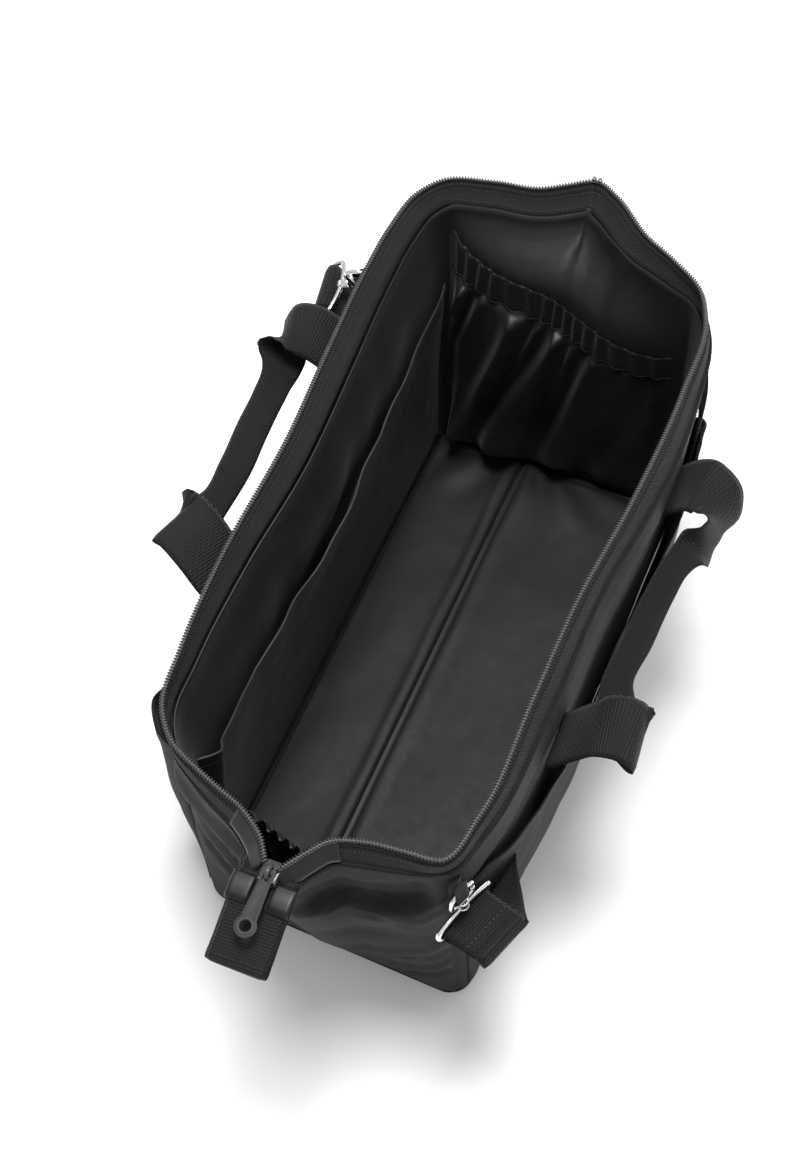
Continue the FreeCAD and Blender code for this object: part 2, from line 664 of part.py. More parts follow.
def strap_hook(side, place, claw_place):
    """Swivel hook: the ring, then the barrel and claw, which have swivelled to a place of their
    own. In the axes of either, Z runs from the ring up to the claw, and X along the ring's bar."""
    ring = doc.addObject("PartDesign::Body", side + "_ring_body")
    outline = centred_rectangle(ring, side + "_ring_outline", "XZ_Plane", "Sizes.ring_length",
                                "Sizes.ring_height", mid_y="-Sizes.ring_height / 2")
    plate = pad(ring, side + "_ring_plate", outline, "Sizes.wire", symmetric=True)
    round_edges(ring, side + "_ring_corners", plate, "Sizes.ring_height / 3", Vector(0, 1, 0))
    slot = centred_rectangle(ring, side + "_ring_slot", "XZ_Plane",
                             "Sizes.ring_length - 2 * Sizes.wire",
                             "Sizes.ring_height - 2 * Sizes.wire", mid_y="-Sizes.ring_height / 2")
    cut_through(ring, side + "_ring_slot_cut", slot)
    stem = cylinder(side + "_stem", "Sizes.stem_radius", "8.6", z="-0.6")
    head = cylinder(side + "_stem_head", "Sizes.stem_radius * 1.5", "1.6", z="6.6")
    keep(joined(side + "_ring_shape", ring, stem, head), side + "_strap_ring", place)

    barrel = cylinder(side + "_barrel", "Sizes.barrel_radius", "9", z="1")
    neck = cylinder(side + "_neck", "Sizes.stem_radius + Sizes.swivel_clearance", "6", z="0.5")
    hollow = cylinder(side + "_hollow", "Sizes.stem_radius * 1.5 + 0.3", "2.6", z="6")
    bore = joined(side + "_bore", neck, hollow)
    frame = doc.addObject("PartDesign::Body", side + "_claw_body")
    outer = centred_rectangle(frame, side + "_claw_outline", "YZ_Plane", "Sizes.claw_width", "18",
                              mid_y="18.4")
    block = pad(frame, side + "_claw_block", outer, "Sizes.claw_wire", symmetric=True)
    round_edges(frame, side + "_claw_round", block, "Sizes.claw_width / 2.4", Vector(1, 0, 0),
                lambda middle: middle.z > 18)
    inner = centred_rectangle(frame, side + "_claw_inner", "YZ_Plane",
                              "Sizes.claw_width - 2 * Sizes.claw_wire", "12.2", mid_y="18.2")
    cut_through(frame, side + "_claw_inner_cut", inner)
    side_middle = "-Sizes.claw_width / 2 + Sizes.claw_wire / 2"
    mouth = centred_rectangle(frame, side + "_claw_mouth", "YZ_Plane", "Sizes.claw_wire + 2",
                              "6.2", mid_x=side_middle, mid_y="19.7")
    cut_through(frame, side + "_claw_mouth_cut", mouth)
    ears = centred_rectangle(frame, side + "_claw_ears", "YZ_Plane", "Sizes.claw_wire + 2",
                             "4", mid_x=side_middle, mid_y="15.2")
    cut_through(frame, side + "_claw_ears_cut", ears, "Sizes.claw_wire - 0.6")
    solid = joined(side + "_claw_solid", cut(side + "_barrel_bored", barrel, bore), frame)
    keep(solid, side + "_strap_hook", claw_place)

    lever = box(side + "_gate_bar", "Sizes.claw_wire - 1", "2", "8.8", "-Sizes.claw_wire / 2 + 0.5",
                "-Sizes.claw_width / 2 + 0.4", "13.7")
    pivot = {"y": "-Sizes.claw_width / 2 + 1.4", "z": "14.8", "axis": Vector(1, 0, 0)}
    hole = cylinder(side + "_gate_hole", "Sizes.pin_radius + Sizes.pin_clearance",
                    "2 * Sizes.claw_wire", x="-Sizes.claw_wire", **pivot)
    keep(cut(side + "_gate_shape", lever, hole), side + "_hook_gate", claw_place)
    pin = cylinder(side + "_pin", "Sizes.pin_radius", "Sizes.claw_wire",
                   x="-Sizes.claw_wire / 2", **pivot)
    keep(grouped(side + "_pin_group", pin), side + "_gate_pin", claw_place)


def frame_of(origin, bar, upward):
    """Placement whose Z axis is upward and whose X axis is as near the bar as it can be."""
    upward = Vector(upward)
    upward.normalize()
    bar = bar - upward * bar.dot(upward)
    bar.normalize()
    return Placement(origin, Rotation(bar, Vector(0, 0, 0), upward, "ZXY"))


NEAR_RING = Vector(-237, -114.5, 212)
NEAR_HOOK = frame_of(NEAR_RING, Vector(0.944, -0.331, 0), UP)
FAR_RING = Vector(170, 147, 233)
FAR_HOOK = frame_of(FAR_RING, Vector(0.98, 0.17, 0), Vector(0.15, -0.85, 0.5))
QUARTER_TURN = Placement(Vector(0, 0, 0), Rotation(UP, 90))
NEAR_CLAW = NEAR_HOOK.multiply(QUARTER_TURN)
strap_hook("near", NEAR_HOOK, NEAR_CLAW)
strap_hook("far", FAR_HOOK, FAR_HOOK)


def hook_tab(label, hook, root):
    """Narrow webbing loop from the bag's seam down through the claw."""
    low = hook.multVec(Vector(0, 1.9, 15.2))
    length = (root - low).Length
    body = doc.addObject("PartDesign::Body", label + "_body")
    outline = centred_rectangle(body, label + "_outline", "XZ_Plane", "7", f"{length}",
                                mid_y=f"{length / 2}")
    plate = pad(body, label + "_plate", outline, "Sizes.hook_tab_width", symmetric=True)
    round_edges(body, label + "_round", plate, "2.6", Vector(0, 1, 0),
                lambda middle: middle.z < 5)
    opening = centred_rectangle(body, label + "_opening", "XZ_Plane", "4.2", f"{length - 4.5}",
                                mid_y=f"{length / 2 - 0.6}")
    cut_through(body, label + "_opening_cut", opening)
    across = hook.Rotation.multVec(Vector(1, 0, 0))
    keep(body, label, frame_of(low, across, root - low))


hook_tab("near_hook_tab", NEAR_CLAW, Vector(-239, -113.5, 252))
hook_tab("far_hook_tab", FAR_HOOK, Vector(178, 101.5, 257))


# ---------------------------------------------------------------- shoulder strap

STUB_LENGTH = 29


def strap_end(label, hook):
    """The strap's sewn end: two layers through the ring and out to the first fold."""
    body = doc.addObject("PartDesign::Body", label + "_body")
    outline = centred_rectangle(body, label + "_outline", "XY_Plane", "Sizes.webbing_width",
                                f"{STUB_LENGTH}", mid_y=f"-{STUB_LENGTH} / 2 + 3")
    plate = pad(body, label + "_plate", outline, "Sizes.webbing_thickness * 2", symmetric=True)
    round_edges(body, label + "_fold", plate, "Sizes.webbing_thickness * 0.95", Vector(1, 0, 0))
    middle = Placement(Vector(0, 0, -size("ring_height") / 2), Rotation())
    keep(body, label, hook.multiply(middle))


strap_end("near_strap_end", NEAR_HOOK)
strap_end("far_strap_end", FAR_HOOK)


def shoulder_strap():
    """One run of webbing, flat to the walls: down the front pocket, out past its far corner,
    round the far end and up the back towards the far hook."""
    stations = [("front", 0.1, 160, 3), ("front", 0.2, 118, 3.5), ("front", 0.35, 88, 4),
                ("front", 0.65, 88, 4), ("front", 0.77, 112, 4), ("front", 0.84, 156, 4),
                ("front", 0.88, 184, 4), ("front", 0.93, 196, 4), ("front", 0.985, 200, 4),
                ("far", 0.04, 196, 6), ("far", 0.25, 160, 6), ("far", 0.5, 140, 6),
                ("far", 0.75, 150, 6), ("far", 0.97, 172, 8), ("back", 0.03, 184, 26),
                ("back", 0.12, 196, 32)]
    half = size("webbing_width") / 2
    thick = size("webbing_thickness")
    outer = [[], []]
    inner = [[], []]
    for wall, share, height, gap in stations:
        for row, edge in enumerate((-half, half)):
            inner[row].append(wall_point(wall, share, height + edge, gap))
            outer[row].append(wall_point(wall, share, height + edge, gap + thick))
    cloth("shoulder_strap", inner, outer)


shoulder_strap()


# ---------------------------------------------------------------- check and write

doc.recompute()
for thing in doc.Objects:
    if "Invalid" in thing.State or "Error" in thing.State:
        raise RuntimeError(f"{thing.Label} is {thing.State}")
labels = [thing.Label for thing in SUB_PARTS]
if len(set(labels)) != len(labels):
    raise RuntimeError("two sub-parts share a name")
os.makedirs("parts", exist_ok=True)
for thing in SUB_PARTS:
    shape = thing.Shape
    if shape.isNull() or not shape.isValid() or shape.Volume <= 0:
        raise RuntimeError(f"{thing.Label} has no sound shape")
    shape.exportStep(f"parts/{thing.Label}.step")
    print(f"{thing.Label:22s} {shape.Volume:10.0f} mm3  solids {len(shape.Solids)}")
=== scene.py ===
"""Looks of the soft two-ball bowling bag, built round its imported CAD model.

Lengths in this file are millimetres until a mesh is made. The far end is +X, the front wall -Y.
"""
import math

import bmesh
import bpy
import numpy as np
from mathutils import Matrix, Vector, noise


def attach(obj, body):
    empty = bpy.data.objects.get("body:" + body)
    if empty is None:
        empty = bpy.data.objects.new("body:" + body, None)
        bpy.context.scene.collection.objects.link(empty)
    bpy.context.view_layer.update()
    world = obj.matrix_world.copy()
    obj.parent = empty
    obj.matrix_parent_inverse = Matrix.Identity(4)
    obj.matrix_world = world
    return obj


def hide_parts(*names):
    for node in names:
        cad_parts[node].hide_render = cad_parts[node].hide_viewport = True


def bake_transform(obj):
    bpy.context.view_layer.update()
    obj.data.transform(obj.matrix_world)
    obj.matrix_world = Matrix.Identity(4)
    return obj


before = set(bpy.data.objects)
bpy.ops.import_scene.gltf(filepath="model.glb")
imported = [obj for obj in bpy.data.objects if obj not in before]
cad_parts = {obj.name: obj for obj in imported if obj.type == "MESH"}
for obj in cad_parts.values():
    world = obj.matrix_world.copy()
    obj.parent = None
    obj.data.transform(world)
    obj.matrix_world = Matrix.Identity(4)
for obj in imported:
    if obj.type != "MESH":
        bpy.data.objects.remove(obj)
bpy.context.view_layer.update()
MM = 0.001


# ---------------------------------------------------------------- lines

def lengths(line):
    """Distance from the line's start to each of its points."""
    return np.concatenate([[0], np.cumsum(np.linalg.norm(np.diff(line[:, :3], axis=0), axis=1))])


def smooth(points, per_span=12, closed=False):
    """Line that passes smoothly through the points, however unevenly they are spaced."""
    points = np.array(points, float)
    path = np.vstack([points, points[:1]]) if closed else points
    travel = np.diff(path, axis=0)
    step = np.linalg.norm(travel, axis=1)[:, None]
    slope = travel / step
    if closed:
        step_in = np.roll(step, 1, axis=0)
        tangent = (step * np.roll(slope, 1, axis=0) + step_in * slope) / (step + step_in)
        tangent = np.vstack([tangent, tangent[:1]])
    else:
        inner = (step[1:] * slope[:-1] + step[:-1] * slope[1:]) / (step[1:] + step[:-1])
        tangent = np.vstack([slope[:1], inner, slope[-1:]])
    s = np.linspace(0, 1, per_span, endpoint=False)[:, None]
    start, leave = 2 * s**3 - 3 * s**2 + 1, s**3 - 2 * s**2 + s
    arrive = s**3 - s**2
    spans = [start * a + leave * h * out + (1 - start) * b + arrive * h * into
             for a, b, out, into, h in zip(path, path[1:], tangent, tangent[1:], step)]
    line = np.vstack(spans)
    return line if closed else np.vstack([line, points[-1:]])


def spaced(line, count):
    """The line again, as count points evenly spaced along it."""
    run = lengths(line)
    at = np.linspace(0, run[-1], count)
    return np.stack([np.interp(at, run, line[:, k]) for k in range(line.shape[1])], axis=1)


def unit(vectors):
    """The vectors, each made one long."""
    return vectors / np.maximum(np.linalg.norm(vectors, axis=-1, keepdims=True), 1e-9)


def keyed(at, keys):
    """Smooth value at each place, from a list of (place, value) in order."""
    places, values = np.array(keys, float).T
    slopes = np.gradient(values, places)
    span = np.clip(np.searchsorted(places, at, side="right") - 1, 0, len(places) - 2)
    width = places[span + 1] - places[span]
    t = np.clip((at - places[span]) / width, 0, 1)
    start = values[span] + t * width * slopes[span]
    stop = values[span + 1] - (1 - t) * width * slopes[span + 1]
    return start + (stop - start) * t * t * (3 - 2 * t)


def bump(x, middle, half):
    """1 at the middle, fading smoothly on both sides, to about an eighth at half away."""
    return np.exp(-(((x - middle) / half) ** 2) * 2)


def step_up(x, start, stop):
    """0 up to start, 1 from stop on, and a smooth step between them."""
    t = np.clip((x - start) / (stop - start), 0, 1)
    return t * t * (3 - 2 * t)


def noise_at(points, size, seed):
    """Smooth noise from -1 to 1 at each point of a grid of points."""
    flat = points.reshape(-1, 3) / size + seed * 17.3
    values = [noise.noise(Vector(p)) for p in flat]
    return np.array(values).reshape(points.shape[:-1])


# ---------------------------------------------------------------- materials

def wave_scale(period):
    """Scale of a Wave texture whose bands repeat after a period in millimetres."""
    return math.pi / 10 / (period * MM)


class Paint:
    """Builds one material's nodes round its Principled shader."""

    def __init__(self, name):
        self.material = bpy.data.materials.new(name)
        self.material.use_nodes = True
        self.tree = self.material.node_tree
        self.shader = self.tree.nodes["Principled BSDF"]

    def add(self, kind, **values):
        node = self.tree.nodes.new(kind)
        for name, value in values.items():
            if name in node.inputs:
                node.inputs[name].default_value = value
            else:
                setattr(node, name, value)
        return node

    def link(self, source, target):
        self.tree.links.new(source, target)

    def coordinates(self, kind):
        return self.add("ShaderNodeTexCoord").outputs[kind]

    def stripes(self, period, direction, distortion=0.0):
        node = self.add("ShaderNodeTexWave", Scale=wave_scale(period), Distortion=distortion)
        node.bands_direction = direction
        self.link(self.coordinates("UV"), node.inputs["Vector"])
        return node.outputs["Fac"]

    def noise(self, period, detail=3.0):
        node = self.add("ShaderNodeTexNoise", Scale=1 / (period * MM), Detail=detail)
        self.link(self.coordinates("Object"), node.inputs["Vector"])
        return node.outputs["Fac"]

    def maths(self, operation, a, b):
        node = self.add("ShaderNodeMath", operation=operation)
        for value, socket in ((a, node.inputs[0]), (b, node.inputs[1])):
            if isinstance(value, (int, float)):
                socket.default_value = value
            else:
                self.link(value, socket)
        return node.outputs[0]

    def ramp(self, factor, stops):
        node = self.add("ShaderNodeValToRGB")
        elements = node.color_ramp.elements
        while len(elements) < len(stops):
            elements.new(0.5)
        for element, (place, colour) in zip(elements, stops):
            element.position = place
            element.color = (*colour, 1) if isinstance(colour, tuple) else (colour,) * 3 + (1,)
        self.link(factor, node.inputs["Fac"])
        return node.outputs["Color"]

    def bumps(self, layers):
        """Chain of bump nodes; each layer is (height, distance in millimetres, strength)."""
        previous = None
        for height, distance, strength in layers:
            node = self.add("ShaderNodeBump", Distance=distance * MM, Strength=strength)
            self.link(height, node.inputs["Height"])
            if previous is not None:
                self.link(previous, node.inputs["Normal"])
            previous = node.outputs["Normal"]
        self.link(previous, self.shader.inputs["Normal"])

    def set(self, **values):
        for name, value in values.items():
            self.shader.inputs[name.replace("_", " ")].default_value = value


def tinted(grey, warmth=0.0):
    return (grey * (1 + warmth), grey, grey * (1 - warmth))


def cloth_paint(name, dark, light, thread, roughness, sheen, gloss, weave=0.5):
    """Woven cloth: crossed threads, faint lint and uneven dye."""
    paint = Paint(name)
    warp = paint.stripes(thread, "X")
    weft = paint.stripes(thread, "Y")
    crossing = paint.maths("MULTIPLY", warp, weft)
    dye = paint.maths("ADD", paint.maths("MULTIPLY", paint.noise(60), 0.65),
                      paint.maths("MULTIPLY", crossing, 0.35))
    colour = paint.ramp(dye, ((0.25, tinted(dark, 0.01)), (0.75, tinted(light, 0.01))))
    paint.link(colour, paint.shader.inputs["Base Color"])
    rough = paint.ramp(paint.noise(9), ((0.3, roughness - 0.05), (0.7, roughness + 0.05)))
    paint.link(rough, paint.shader.inputs["Roughness"])
    paint.bumps([(paint.noise(14, 4), 0.5, 0.25), (crossing, 0.14, weave)])
    paint.set(Sheen_Weight=sheen, Sheen_Roughness=0.45, Specular_IOR_Level=gloss)
    paint.shader.inputs["Sheen Tint"].default_value = (1, 1, 1, 1)
    return paint.material


def ribbed_paint(name, dark, light, rib, roughness, twill=2.2):
    """Webbing or tape: ribs across its width, with a herringbone of yarns over them."""
    paint = Paint(name)
    ribs = paint.stripes(rib, "Y", distortion=0.25)
    yarns = paint.stripes(twill, "DIAGONAL")
    yarn_rows = paint.stripes(twill * 0.8, "X")
    surface = paint.maths("ADD", paint.maths("MULTIPLY", ribs, 0.6),
                          paint.maths("MULTIPLY", paint.maths("MULTIPLY", yarns, yarn_rows), 0.6))
    tone = paint.maths("ADD", paint.maths("MULTIPLY", surface, 0.7),
                       paint.maths("MULTIPLY", paint.noise(25), 0.4))
    colour = paint.ramp(tone, ((0.2, tinted(dark)), (0.85, tinted(light))))
    paint.link(colour, paint.shader.inputs["Base Color"])
    paint.bumps([(surface, 0.5, 1.0), (paint.noise(1.2), 0.1, 0.3)])
    paint.set(Roughness=roughness, Sheen_Weight=0.06, Sheen_Roughness=0.5, Specular_IOR_Level=0.22)
    return paint.material


def hard_paint(name, colour, roughness, metallic=0.0, coat=0.0, edge_highlight=0.0, gloss=0.5):
    """Metal, enamel or plastic, with smudges, and a painted highlight that makes its sharp edges
    lighter.
    """
    paint = Paint(name)
    # Painted highlight: the colour is made lighter where edges are sharp, as if they caught the light.
    edge = paint.add("ShaderNodeNewGeometry").outputs["Pointiness"]
    tone = paint.ramp(edge, ((0.5, tinted(colour)), (0.56, tinted(min(1, colour + edge_highlight)))))
    paint.link(tone, paint.shader.inputs["Base Color"])
    smudges = paint.ramp(paint.noise(4, 4), ((0.35, roughness), (0.7, roughness + 0.12)))
    paint.link(smudges, paint.shader.inputs["Roughness"])
    paint.bumps([(paint.noise(0.8, 2), 0.02, 0.2)])
    paint.set(Metallic=metallic, Coat_Weight=coat, Specular_IOR_Level=gloss)
    return paint.material


# Cloth: darkest and lightest grey, thread pitch in millimetres, roughness, sheen, gloss.
OUTER = cloth_paint("outer_cloth", 0.0036, 0.0072, 0.75, 0.74, 0.05, 0.16)
POCKET = cloth_paint("pocket_cloth", 0.0036, 0.0068, 0.75, 0.76, 0.05, 0.16)
SATIN = cloth_paint("lining_satin", 0.004, 0.008, 0.5, 0.4, 0.05, 0.32, weave=0.25)
BOARD = cloth_paint("board_cover", 0.009, 0.014, 0.5, 0.5, 0.05, 0.2, weave=0.3)
WEBBING = ribbed_paint("ribbed_webbing", 0.001, 0.0075, 2.0, 0.66)
TAPE = ribbed_paint("zip_tape_weave", 0.0015, 0.0105, 1.5, 0.66, twill=1.6)
COIL = hard_paint("coil_nylon", 0.05, 0.34)
THREAD = hard_paint("stitch_thread", 0.02, 0.5)
# Hard parts. The edge number, where one is given, sets how much lighter the painted highlight makes
# their sharp edges.
SLIDER_ENAMEL = hard_paint("slider_enamel", 0.006, 0.26, coat=0.2, edge_highlight=0.05, gloss=0.3)
PULL_ENAMEL = hard_paint("pull_enamel", 0.01, 0.5, edge_highlight=0.06, gloss=0.2)
STOP_METAL = hard_paint("stop_metal", 0.03, 0.3, metallic=0.8, edge_highlight=0.2)
NICKEL = hard_paint("nickel", 0.7, 0.18, metallic=1.0, edge_highlight=0.2)


# ---------------------------------------------------------------- meshes

def linked(name, mesh, material):
    """Object that shows the mesh in one material, in the scene."""
    mesh.name = name
    mesh.materials.clear()
    mesh.materials.append(material)
    thing = bpy.data.objects.new(name, mesh)
    bpy.context.scene.collection.objects.link(thing)
    return thing


def mesh_of_curve(curve):
    """Mesh of a curve, which is removed."""
    holder = bpy.data.objects.new(curve.name + "_holder", curve)
    mesh = bpy.data.meshes.new_from_object(holder)
    bpy.data.objects.remove(holder)
    bpy.data.curves.remove(curve)
    return mesh


def mesh_object(name, points, faces, material, uvs=None, flat=()):
    """Object from points in millimetres. uvs are given by point, in metres."""
    mesh = bpy.data.meshes.new(name)
    mesh.from_pydata((np.asarray(points) * MM).tolist(), [], [list(map(int, f)) for f in faces])
    smooth_flags = np.ones(len(faces), bool)
    smooth_flags[list(flat)] = False
    mesh.polygons.foreach_set("use_smooth", smooth_flags)
    if uvs is not None:
        layer = mesh.uv_layers.new(name="UVMap")
        corner = np.zeros(len(mesh.loops), np.int32)
        mesh.loops.foreach_get("vertex_index", corner)
        layer.data.foreach_set("uv", np.asarray(uvs, np.float32)[corner].ravel())
    mesh.update()
    return linked(name, mesh, material)


def normals_of(grid, closed=False):
    """Unit normals of a grid of points, away from the side that its rows turn round."""
    if closed:
        wide = np.concatenate([grid[:, -1:], grid, grid[:, :1]], axis=1)
        across = wide[:, 2:] - wide[:, :-2]
    else:
        across = np.gradient(grid, axis=1)
    return unit(np.cross(across, np.gradient(grid, axis=0)))


def sheet_object(name, grid, thickness, material, closed=False):
    """Closed thin solid: the grid is its outer face, and its rows run from foot to top."""
    rows, columns = grid.shape[:2]
    inner = grid - normals_of(grid, closed) * thickness
    points = np.concatenate([grid.reshape(-1, 3), inner.reshape(-1, 3)])
    number = np.arange(rows * columns).reshape(rows, columns)
    behind = number + rows * columns
    right = np.roll(number, -1, axis=1)
    span = slice(None) if closed else slice(0, columns - 1)
    low, high = number[:-1, span].ravel(), number[1:, span].ravel()
    low_r, high_r = right[:-1, span].ravel(), right[1:, span].ravel()
    shift = rows * columns
    faces = list(np.stack([low, low_r, high_r, high], axis=1))
    faces += list(np.stack([low, high, high_r, low_r], axis=1) + shift)
    rim_start = len(faces)
    for row, first, second in ((0, behind, number), (-1, number, behind)):
        a, b = first[row, span], np.roll(first, -1, axis=1)[row, span]
        c, d = np.roll(second, -1, axis=1)[row, span], second[row, span]
        faces += list(np.stack([a, b, c, d], axis=1))
    if not closed:
        for column, first, second in ((0, number, behind), (-1, behind, number)):
            a, b = first[:-1, column], first[1:, column]
            c, d = second[1:, column], second[:-1, column]
            faces += list(np.stack([a, b, c, d], axis=1))
    middle = grid[rows // 2]
    run = lengths(middle)
    rise = lengths(grid[:, columns // 2])
    uv = np.stack(np.meshgrid(run, rise), axis=-1).reshape(-1, 2) * MM
    return mesh_object(name, points, faces, material, np.concatenate([uv, uv]),
                       range(rim_start, len(faces)))


RIBBON_SIDES = 5


def ribbon_object(name, stations, thickness, material, step=3.0):
    """Flat webbing. Each station is centre, direction across (3 numbers each) and half width."""
    stations = np.array([[*centre, *across, half] for centre, across, half in stations], float)
    line = smooth(stations, 10)
    line = spaced(line, max(8, int(lengths(line)[-1] / step)))
    centre, across, half = line[:, :3], unit(line[:, 3:6]), line[:, 6:7]
    travel = unit(np.gradient(centre, axis=0))
    across = unit(across - travel * (across * travel).sum(1, keepdims=True))
    upward = np.cross(across, travel)
    share = np.linspace(-1, 1, RIBBON_SIDES * 2 + 1)
    profile = np.concatenate([np.stack([share, np.sqrt(1 - share**8)], axis=1),
                              np.stack([-share[1:-1], -np.sqrt(1 - share[1:-1] ** 8)], axis=1)])
    depth = np.broadcast_to(thickness, (len(line),))[:, None] / 2
    grid = np.stack([centre + across * half * a + upward * depth * b for a, b in profile], axis=1)
    rows, sides = grid.shape[:2]
    number = np.arange(rows * sides).reshape(rows, sides)
    nxt = np.roll(number, -1, axis=1)
    faces = list(np.stack([number[:-1].ravel(), number[1:].ravel(),
                           nxt[1:].ravel(), nxt[:-1].ravel()], axis=1))
    caps = [number[0], number[-1][::-1]]
    run = lengths(centre) * MM
    widths = profile[:, 0] * np.median(half) * MM
    uv = np.stack(np.meshgrid(widths, run), axis=-1).reshape(-1, 2)
    return mesh_object(name, grid.reshape(-1, 3), faces + caps, material, uv,
                       range(len(faces), len(faces) + 2))


def beads_object(name, places, forward, upward, size, material, sides=6):
    """Row of small rounded beads, such as coil teeth or stitches. size is along, across, up."""
    along, across, up = (s / 2 for s in size)
    forward = unit(forward)
    sideways = unit(np.cross(upward, forward))
    upward = np.cross(forward, sideways)
    angle = np.arange(sides) * 2 * math.pi / sides
    shape = [(0, 0, -1)]
    for level, width in ((-0.75, 0.72), (0, 1), (0.75, 0.72)):
        shape += [(math.cos(a) * width, math.sin(a) * width, level) for a in angle]
    shape.append((0, 0, 1))
    shape = np.array(shape)
    faces = [(0, 1 + (i + 1) % sides, 1 + i) for i in range(sides)]
    for ring in range(2):
        start = 1 + ring * sides
        faces += [(start + i, start + (i + 1) % sides, start + sides + (i + 1) % sides,
                   start + sides + i) for i in range(sides)]
    last = 1 + 2 * sides
    faces += [(last + i, last + (i + 1) % sides, last + sides) for i in range(sides)]
    faces = [np.array(face) for face in faces]
    count = len(shape)
    local = (shape[:, None, 0:1] * forward[None] * along + shape[:, None, 1:2] * upward[None] * up
             + shape[:, None, 2:3] * sideways[None] * across)
    points = (places[None] + local).transpose(1, 0, 2).reshape(-1, 3)
    every = [face + number * count for number in range(len(places)) for face in faces]
    return mesh_object(name, points, every, material)


def stitch_row(name, line, upward, pitch=3.2, size=(2.3, 0.7, 0.6), material=None):
    """Stitches along a line, upward is the direction away from the cloth at each point."""
    joined = np.concatenate([line, upward], axis=1)
    points = spaced(joined, max(3, int(lengths(line)[-1] / pitch)))
    return beads_object(name, points[:, :3], np.gradient(points[:, :3], axis=0),
                        unit(points[:, 3:]), size, material or THREAD)


def tube_object(name, points, radius, material, closed=False, per_span=8):
    """Round bar along a smooth line, with rounded ends."""
    line = smooth(points, per_span, closed)
    curve = bpy.data.curves.new(name + "_line", "CURVE")
    curve.dimensions = "3D"
    curve.bevel_depth = radius * MM
    curve.bevel_resolution = 4
    curve.use_fill_caps = True
    spline = curve.splines.new("POLY")
    spline.points.add(len(line) - 1)
    for point, place in zip(spline.points, line * MM):
        point.co = (*place, 1)
        point.radius = 1
    if not closed:
        spline.points[0].radius = spline.points[-1].radius = 0.75
    spline.use_cyclic_u = closed
    mesh = mesh_of_curve(curve)
    mesh.shade_smooth()
    return linked(name, mesh, material)


def plate_object(name, outlines, thickness, bevel, material, place):
    """Flat plate with holes. The first outline is its edge; points are in its own plane."""
    curve = bpy.data.curves.new(name + "_outline", "CURVE")
    curve.dimensions = "2D"
    curve.fill_mode = "BOTH"
    curve.extrude = (thickness / 2 - bevel) * MM
    curve.bevel_depth = bevel * MM
    curve.bevel_resolution = 3
    curve.offset = -bevel * MM
    for outline in outlines:
        spline = curve.splines.new("POLY")
        spline.points.add(len(outline) - 1)
        for point, (x, y) in zip(spline.points, outline):
            point.co = (x * MM, y * MM, 0, 1)
        spline.use_cyclic_u = True
    mesh = mesh_of_curve(curve)
    mesh.transform(place)
    thing = linked(name, mesh, material)
    smooth_by_angle(thing)
    return thing


def smooth_by_angle(thing, degrees=35):
    """Smooth shading, with a sharp line wherever two faces meet at more than an angle."""
    work = bmesh.new()
    work.from_mesh(thing.data)
    bmesh.ops.remove_doubles(work, verts=work.verts, dist=1e-7)
    for face in work.faces:
        face.smooth = True
    for edge in work.edges:
        edge.smooth = len(edge.link_faces) < 2 or edge.calc_face_angle(0) < math.radians(degrees)
    work.to_mesh(thing.data)
    work.free()


def blocks_object(name, blocks, material, place, bevel=0.5):
    """Several blocks with rounded edges, as one piece. Each is (low corner, high corner)."""
    work = bmesh.new()
    for low, high in blocks:
        low, high = Vector(low), Vector(high)
        made = bmesh.ops.create_cube(work, size=1)
        size = Matrix.Diagonal((*(high - low), 1))
        move = Matrix.Translation((low + high) / 2)
        bmesh.ops.transform(work, matrix=move @ size, verts=made["verts"])
    bmesh.ops.bevel(work, geom=work.edges[:] + work.verts[:], offset=bevel, segments=3,
                    profile=0.5, affect="EDGES", clamp_overlap=True)
    bmesh.ops.transform(work, matrix=place @ Matrix.Scale(MM, 4), verts=work.verts)
    mesh = bpy.data.meshes.new(name)
    work.to_mesh(mesh)
    work.free()
    thing = linked(name, mesh, material)
    smooth_by_angle(thing)
    return thing


def settle(thing, body, slot, *nodes):
    """The piece rides on a body and stands for CAD nodes, which it hides; slot is not used."""
    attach(thing, body)
    if nodes:
        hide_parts(*nodes)
    return thing


# ---------------------------------------------------------------- outlines of the bag

SPAN = 12
COUNTS = {"front": 120, "far": 84, "back": 120, "near": 84}
FOOT_CORNERS = [(-228, -102), (220, -106), (228, 104), (-220, 108)]
FOOT_RADIUS = 18
RIM = 277
FOOT = 5

# Plan of the zip's coil, corner to corner: front, far end, back, near end.
COIL_PLAN = [
    [(-238, -104), (-204, -114), (-121, -116), (-44, -117), (39, -124), (134, -126), (196, -121),
     (219, -110)],
    [(219, -110), (239, -83), (253, -58), (279, -27), (288, -9), (280, 8), (269, 30), (264, 62),
     (254, 97)],
    [(254, 97), (236, 110), (203, 116), (156, 117), (82, 113), (8, 108), (-98, 109), (-165, 104),
     (-208, 96)],
    [(-208, 96), (-226, 80), (-236, 59), (-243, 41), (-250, 22), (-262, 4), (-280, -12),
     (-263, -27), (-252, -36), (-244, -57), (-241, -82), (-238, -104)],
]


def ring(walls):
    """Closed outline, evenly stationed wall by wall. Walls share their corners."""
    points = [point for wall in walls for point in wall[:-1]]
    line = smooth(points, SPAN, closed=True)
    line = np.vstack([line, line[:1]])
    pieces = []
    start = 0
    for wall, count in zip(walls, COUNTS.values()):
        stop = start + SPAN * (len(wall) - 1)
        pieces.append(spaced(line[start:stop + 1], count + 1)[:-1])
        start = stop
    return np.vstack(pieces)


